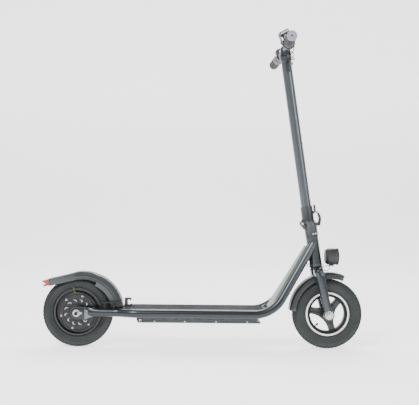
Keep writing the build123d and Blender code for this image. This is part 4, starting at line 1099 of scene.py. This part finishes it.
@dataclass
class StemTrim:
    """Trim on the stem, the handlebar and its controls: lengths in millimetres, a Point in metres."""

    bar_centre: tuple[float, float] = (289.5, 1087.0)
    bar_end: tuple[float, float] = (280.5, 1085.0)
    bar_bend: float = 60.0
    bar_tip: float = 290.0
    stem_offset: float = -5.5
    clamp_up: float = 797.0
    clamp_face: float = 17.4
    grip_from: float = 182.0
    grip_to: float = 294.0
    display_at: Point = (0.2695, -0.140, 1.125)
    display_tilt: float = 28.0
    neck_at: Point = (0.2775, -0.1307, 1.099)
    throttle_tip_at: Point = (0.2552, -0.1659, 1.1045)
    switch_at: Point = (0.275, 0.118, 1.110)
    switch_tilt: float = 45.0
    knuckle_at: Point = (0.3155, 0.155, 1.0885)
    barrel_at: Point = (0.316, 0.1435, 1.087)
    lever_pin_at: Point = (0.316, 0.156, 1.0916)

    def bar_place(self, side: float) -> Matrix:
        """Gives a place on the bar's axis whose z points outboard, from its distance to the left."""
        share = (abs(side) - self.bar_bend) / (self.bar_tip - self.bar_bend)
        hand = 1 if side > 0 else -1
        back, drop = (end - start for start, end in zip(self.bar_centre, self.bar_end))
        at = Vector((self.bar_centre[0] + back * share, side, self.bar_centre[1] + drop * share)) * MM
        return aimed(at, at + Vector((back, hand * (self.bar_tip - self.bar_bend), drop)))

    def stem_rings(self) -> None:
        """Turns the weld and the clamp rings at both ends of the stem tube."""
        rings = []
        sizes = ((220.5, 18.5, 21.4, 1.6), (766.0, 21.0, 22.6, 1.4), (776.5, 21.0, 22.6, 1.4))
        for up, inner, outer, wide in sizes:
            half = [(inner, wide), (outer - 0.6, wide), (outer, wide - 0.6)]
            profile = [(r, -h) for r, h in half] + half[::-1]
            rings.append(turned_part(profile, raked_place(self.stem_offset, 0, up)))
        show("stem_rings", together(rings), PAINT, "stem")
        bolts = []
        for side in (-15.0, 15.0):
            place = raked_place(self.stem_offset + self.clamp_face, side, self.clamp_up) @ TO_FRONT
            bolts.append(socket_screw(place, 3.8, 3.2))
        show("bar_clamp_bolts", together(bolts), PLATED, "stem")

    def grips(self) -> None:
        """Turns both grips with their ribs and flared shoulders."""
        parts, ends = [], []
        for hand in (-1, 1):
            profile = [(11.2, 0.2), (18.4, 0.2), (18.9, 2.0), (18.2, 5.0), (17.0, 8.0)]
            for at in (10.0 + 7.0 * rib for rib in range(13)):
                profile += [(16.6, at), (17.6, at + 1.0), (17.6, at + 4.2), (16.6, at + 5.2)]
            profile += [(17.0, 104), (17.7, 109), (17.9, 111.8), (11.2, 111.8)]
            parts.append(turned_part(profile, self.bar_place(hand * self.grip_from), 64))
            bolt = [(0, 1), (3.4, 1), (3.4, 5.2), (2.6, 5.6), (0, 5.6)]
            ends.append(turned_part(bolt, self.bar_place(hand * self.grip_to), 24))
        show("ribbed_grips", together(parts), SOFT_RUBBER, "stem", ["grips"])
        show("grip_end_bolts", together(ends), BLACK_COAT, "stem")

    def display(self) -> None:
        """Fits the display's glass, its pale neck and the throttle's dark tip."""
        slab = Matrix.Translation(self.display_at) @ Matrix.Rotation(-math.radians(self.display_tilt), 4, "Y")
        corners = [(-15, -25), (15, -25), (16, -24), (16, 24), (15, 25), (-15, 25), (-16, 24), (-16, -24)]
        glass = cut_plate(corners, 0.7, slab @ Matrix.Translation((0, 0, 4.7 * MM)), 0.3)
        show("display_glass", glass, DARK_GLASS, "stem")
        keys = []
        for side in (-10, 0, 10):
            place = slab @ Matrix.Translation((-11 * MM, side * MM, 5.2 * MM))
            keys.append(rod(place, 2.6, 0.9, 0.25, 24))
        show("display_keys", together(keys), NYLON, "stem")
        edge = block((31, 1.2, 5.4), slab @ Matrix.Translation((0, -28.1 * MM, -1.4 * MM)), 0.5)
        foot = Matrix.Translation(self.neck_at) @ TO_RIGHT
        neck = cut_plate([(-9, 0), (9, 0), (13, 18), (-7, 21)], 18.6, foot, 0.8)
        show("display_neck", together([edge, neck]), GREY_ABS, "stem")
        tip = rod(Matrix.Translation(self.throttle_tip_at) @ TO_LEFT, 3.4, 9.4, 0.7)
        show("throttle_tip", tip, NYLON, "throttle")

    def left_controls(self) -> None:
        """Adds the light switch, the lever's knuckle and the cable's barrel adjuster."""
        box = Matrix.Translation(self.switch_at) @ Matrix.Rotation(-math.radians(self.switch_tilt), 4, "Y")
        rocker = block((7, 9, 3), box @ Matrix.Translation((-3 * MM, -11.5 * MM, 0.6 * MM)), 0.8)
        button_ring = turned_part([(7.3, -0.6), (7.3, 1.0), (8.6, 1.0), (9.2, 0.2), (9.2, -0.6)], box, 40)
        show("switch_trim", together([rocker, button_ring]), NYLON, "stem")
        knuckle = block((25, 19, 6.5), Matrix.Translation(self.knuckle_at), 2.4)
        barrel = [
            (0, 0), (5.0, 0), (5.0, 2.5), (4.3, 3.0), (4.3, 5.5), (5.0, 6), (5.0, 8.5), (3.4, 10),
            (2.9, 14), (0, 14),
        ]
        adjuster = turned_part(barrel, Matrix.Translation(self.barrel_at) @ TO_RIGHT, 32)
        show("lever_knuckle", together([knuckle, adjuster]), BLACK_COAT, "stem")
        pin = socket_screw(Matrix.Translation(self.lever_pin_at), 3.4, 2.0)
        show("lever_pin_head", pin, PLATED, "stem")

    def build(self) -> None:
        """Builds all the trim."""
        self.stem_rings()
        self.grips()
        self.display()
        self.left_controls()


ASSEMBLIES: tuple[Any, ...] = (
    FrontWheel(),
    RearWheel(),
    FrameTrim(),
    RearFenderTrim(),
    BrakeTrim(),
    SteeringTrim(),
    StemTrim(),
)


# ---------------------------------------------------------------- stage
@dataclass
class Studio:
    """The floor, the soft lights and the camera: lengths in millimetres, the floor's sweep in metres."""

    camera_at: Point = (-53.4, -3039.9, 528.7)
    yaw_deg: float = 1.406
    roll_deg: float = 0.732
    lens: float = 71.35
    floor_half: float = 14000.0
    sweep: float = 1.5
    floor_glow: float = 1.5
    sky: float = 0.42

    def floor(self) -> None:
        """Lays a plain pale floor that curves up behind the object."""
        bm = bmesh.new()
        half = self.floor_half * MM
        front = [bm.verts.new((x, -half, 0)) for x in (-half, half)]
        edge = bm.edges.new(front)
        curve = [(self.sweep * math.sin(math.radians(a)), -self.sweep * math.cos(math.radians(a)))
                 for a in range(0, 91, 9)]
        steps = [(half + 3.0, 0.0)]
        steps += [(b[0] - a[0], b[1] - a[1]) for a, b in zip(curve, curve[1:])]
        steps += [(0.0, 9.0)]
        for back, rise in steps:
            made = bmesh.ops.extrude_edge_only(bm, edges=[edge])["geom"]
            moved = [v for v in made if isinstance(v, bmesh.types.BMVert)]
            bmesh.ops.translate(bm, verts=moved, vec=(0, back, rise))
            edges = [e for e in made if isinstance(e, bmesh.types.BMEdge)]
            edge = next(e for e in edges if all(v in moved for v in e.verts))
        mesh = bpy.data.meshes.new("floor")
        bm.to_mesh(mesh)
        bm.free()
        mesh.polygons.foreach_set("use_smooth", [True] * len(mesh.polygons))
        floor = bpy.data.objects.new("floor", mesh)
        bpy.context.scene.collection.objects.link(floor)
        backdrop = Finish("matt_backdrop", "#f6f6f6", "#f5f5f5", 0.9, depth_mm=0.001, glow=self.floor_glow)
        mesh.materials.append(backdrop.material())

    def lamp(self, name: str, at: Point, aim: Point, size: float, power: float) -> None:
        """Hangs a soft lamp.

        Args:
            name: The lamp's name.
            at: Where it hangs, in metres.
            aim: The point that it faces, in metres.
            size: Its side in metres.
            power: Its power in watts.
        """
        data = bpy.data.lights.new(name, "AREA")
        data.shape = "SQUARE"
        data.size = size
        data.energy = power
        lamp = bpy.data.objects.new(name, data)
        turn = (Vector(aim) - Vector(at)).to_track_quat("-Z", "Y").to_matrix().to_4x4()
        lamp.matrix_world = Matrix.Translation(at) @ turn
        bpy.context.scene.collection.objects.link(lamp)

    def lights(self) -> None:
        """Sets a bright even sky and three large soft lamps."""
        world = bpy.data.worlds.new("sky")
        bpy.context.scene.world = world
        world.use_nodes = True
        background = world.node_tree.nodes["Background"]
        background.inputs["Color"].default_value = (1.0, 1.0, 1.0, 1.0)
        background.inputs["Strength"].default_value = self.sky
        self.lamp("key", (-1.6, -2.6, 3.2), (0.0, 0.0, 0.5), 1.8, 190)
        self.lamp("fill", (2.6, -2.4, 1.6), (0.1, 0.0, 0.5), 1.6, 60)
        self.lamp("rim", (0.4, 2.2, 3.0), (0.0, 0.0, 0.5), 2.0, 60)

    def camera(self) -> None:
        """Stands the camera at the right side of the scooter."""
        yaw, roll = math.radians(self.yaw_deg), math.radians(self.roll_deg)
        forward = Vector((math.sin(yaw), math.cos(yaw), 0))
        level = Vector((math.cos(yaw), -math.sin(yaw), 0))
        up_level = level.cross(forward)
        right = level * math.cos(roll) + up_level * math.sin(roll)
        up = up_level * math.cos(roll) - level * math.sin(roll)
        data = bpy.data.cameras.new("camera")
        data.lens = self.lens
        data.sensor_width = 36.0
        data.clip_end = 60.0
        camera = bpy.data.objects.new("camera", data)
        turn = Matrix((right, up, -forward)).transposed().to_4x4()
        camera.matrix_world = Matrix.Translation(Vector(self.camera_at) * MM) @ turn
        bpy.context.scene.collection.objects.link(camera)
        bpy.context.scene.camera = camera

    def build(self) -> None:
        """Sets the whole stage."""
        self.floor()
        self.lights()
        self.camera()


def main() -> None:
    """Builds the scooter's looks in order."""
    logging.basicConfig(level=logging.INFO, format="%(message)s")
    Studio().build()
    dress_cad_nodes()
    for assembly in ASSEMBLIES:
        LOG.info("building %s", type(assembly).__name__)
        assembly.build()


if __name__ == "__main__":
    main()
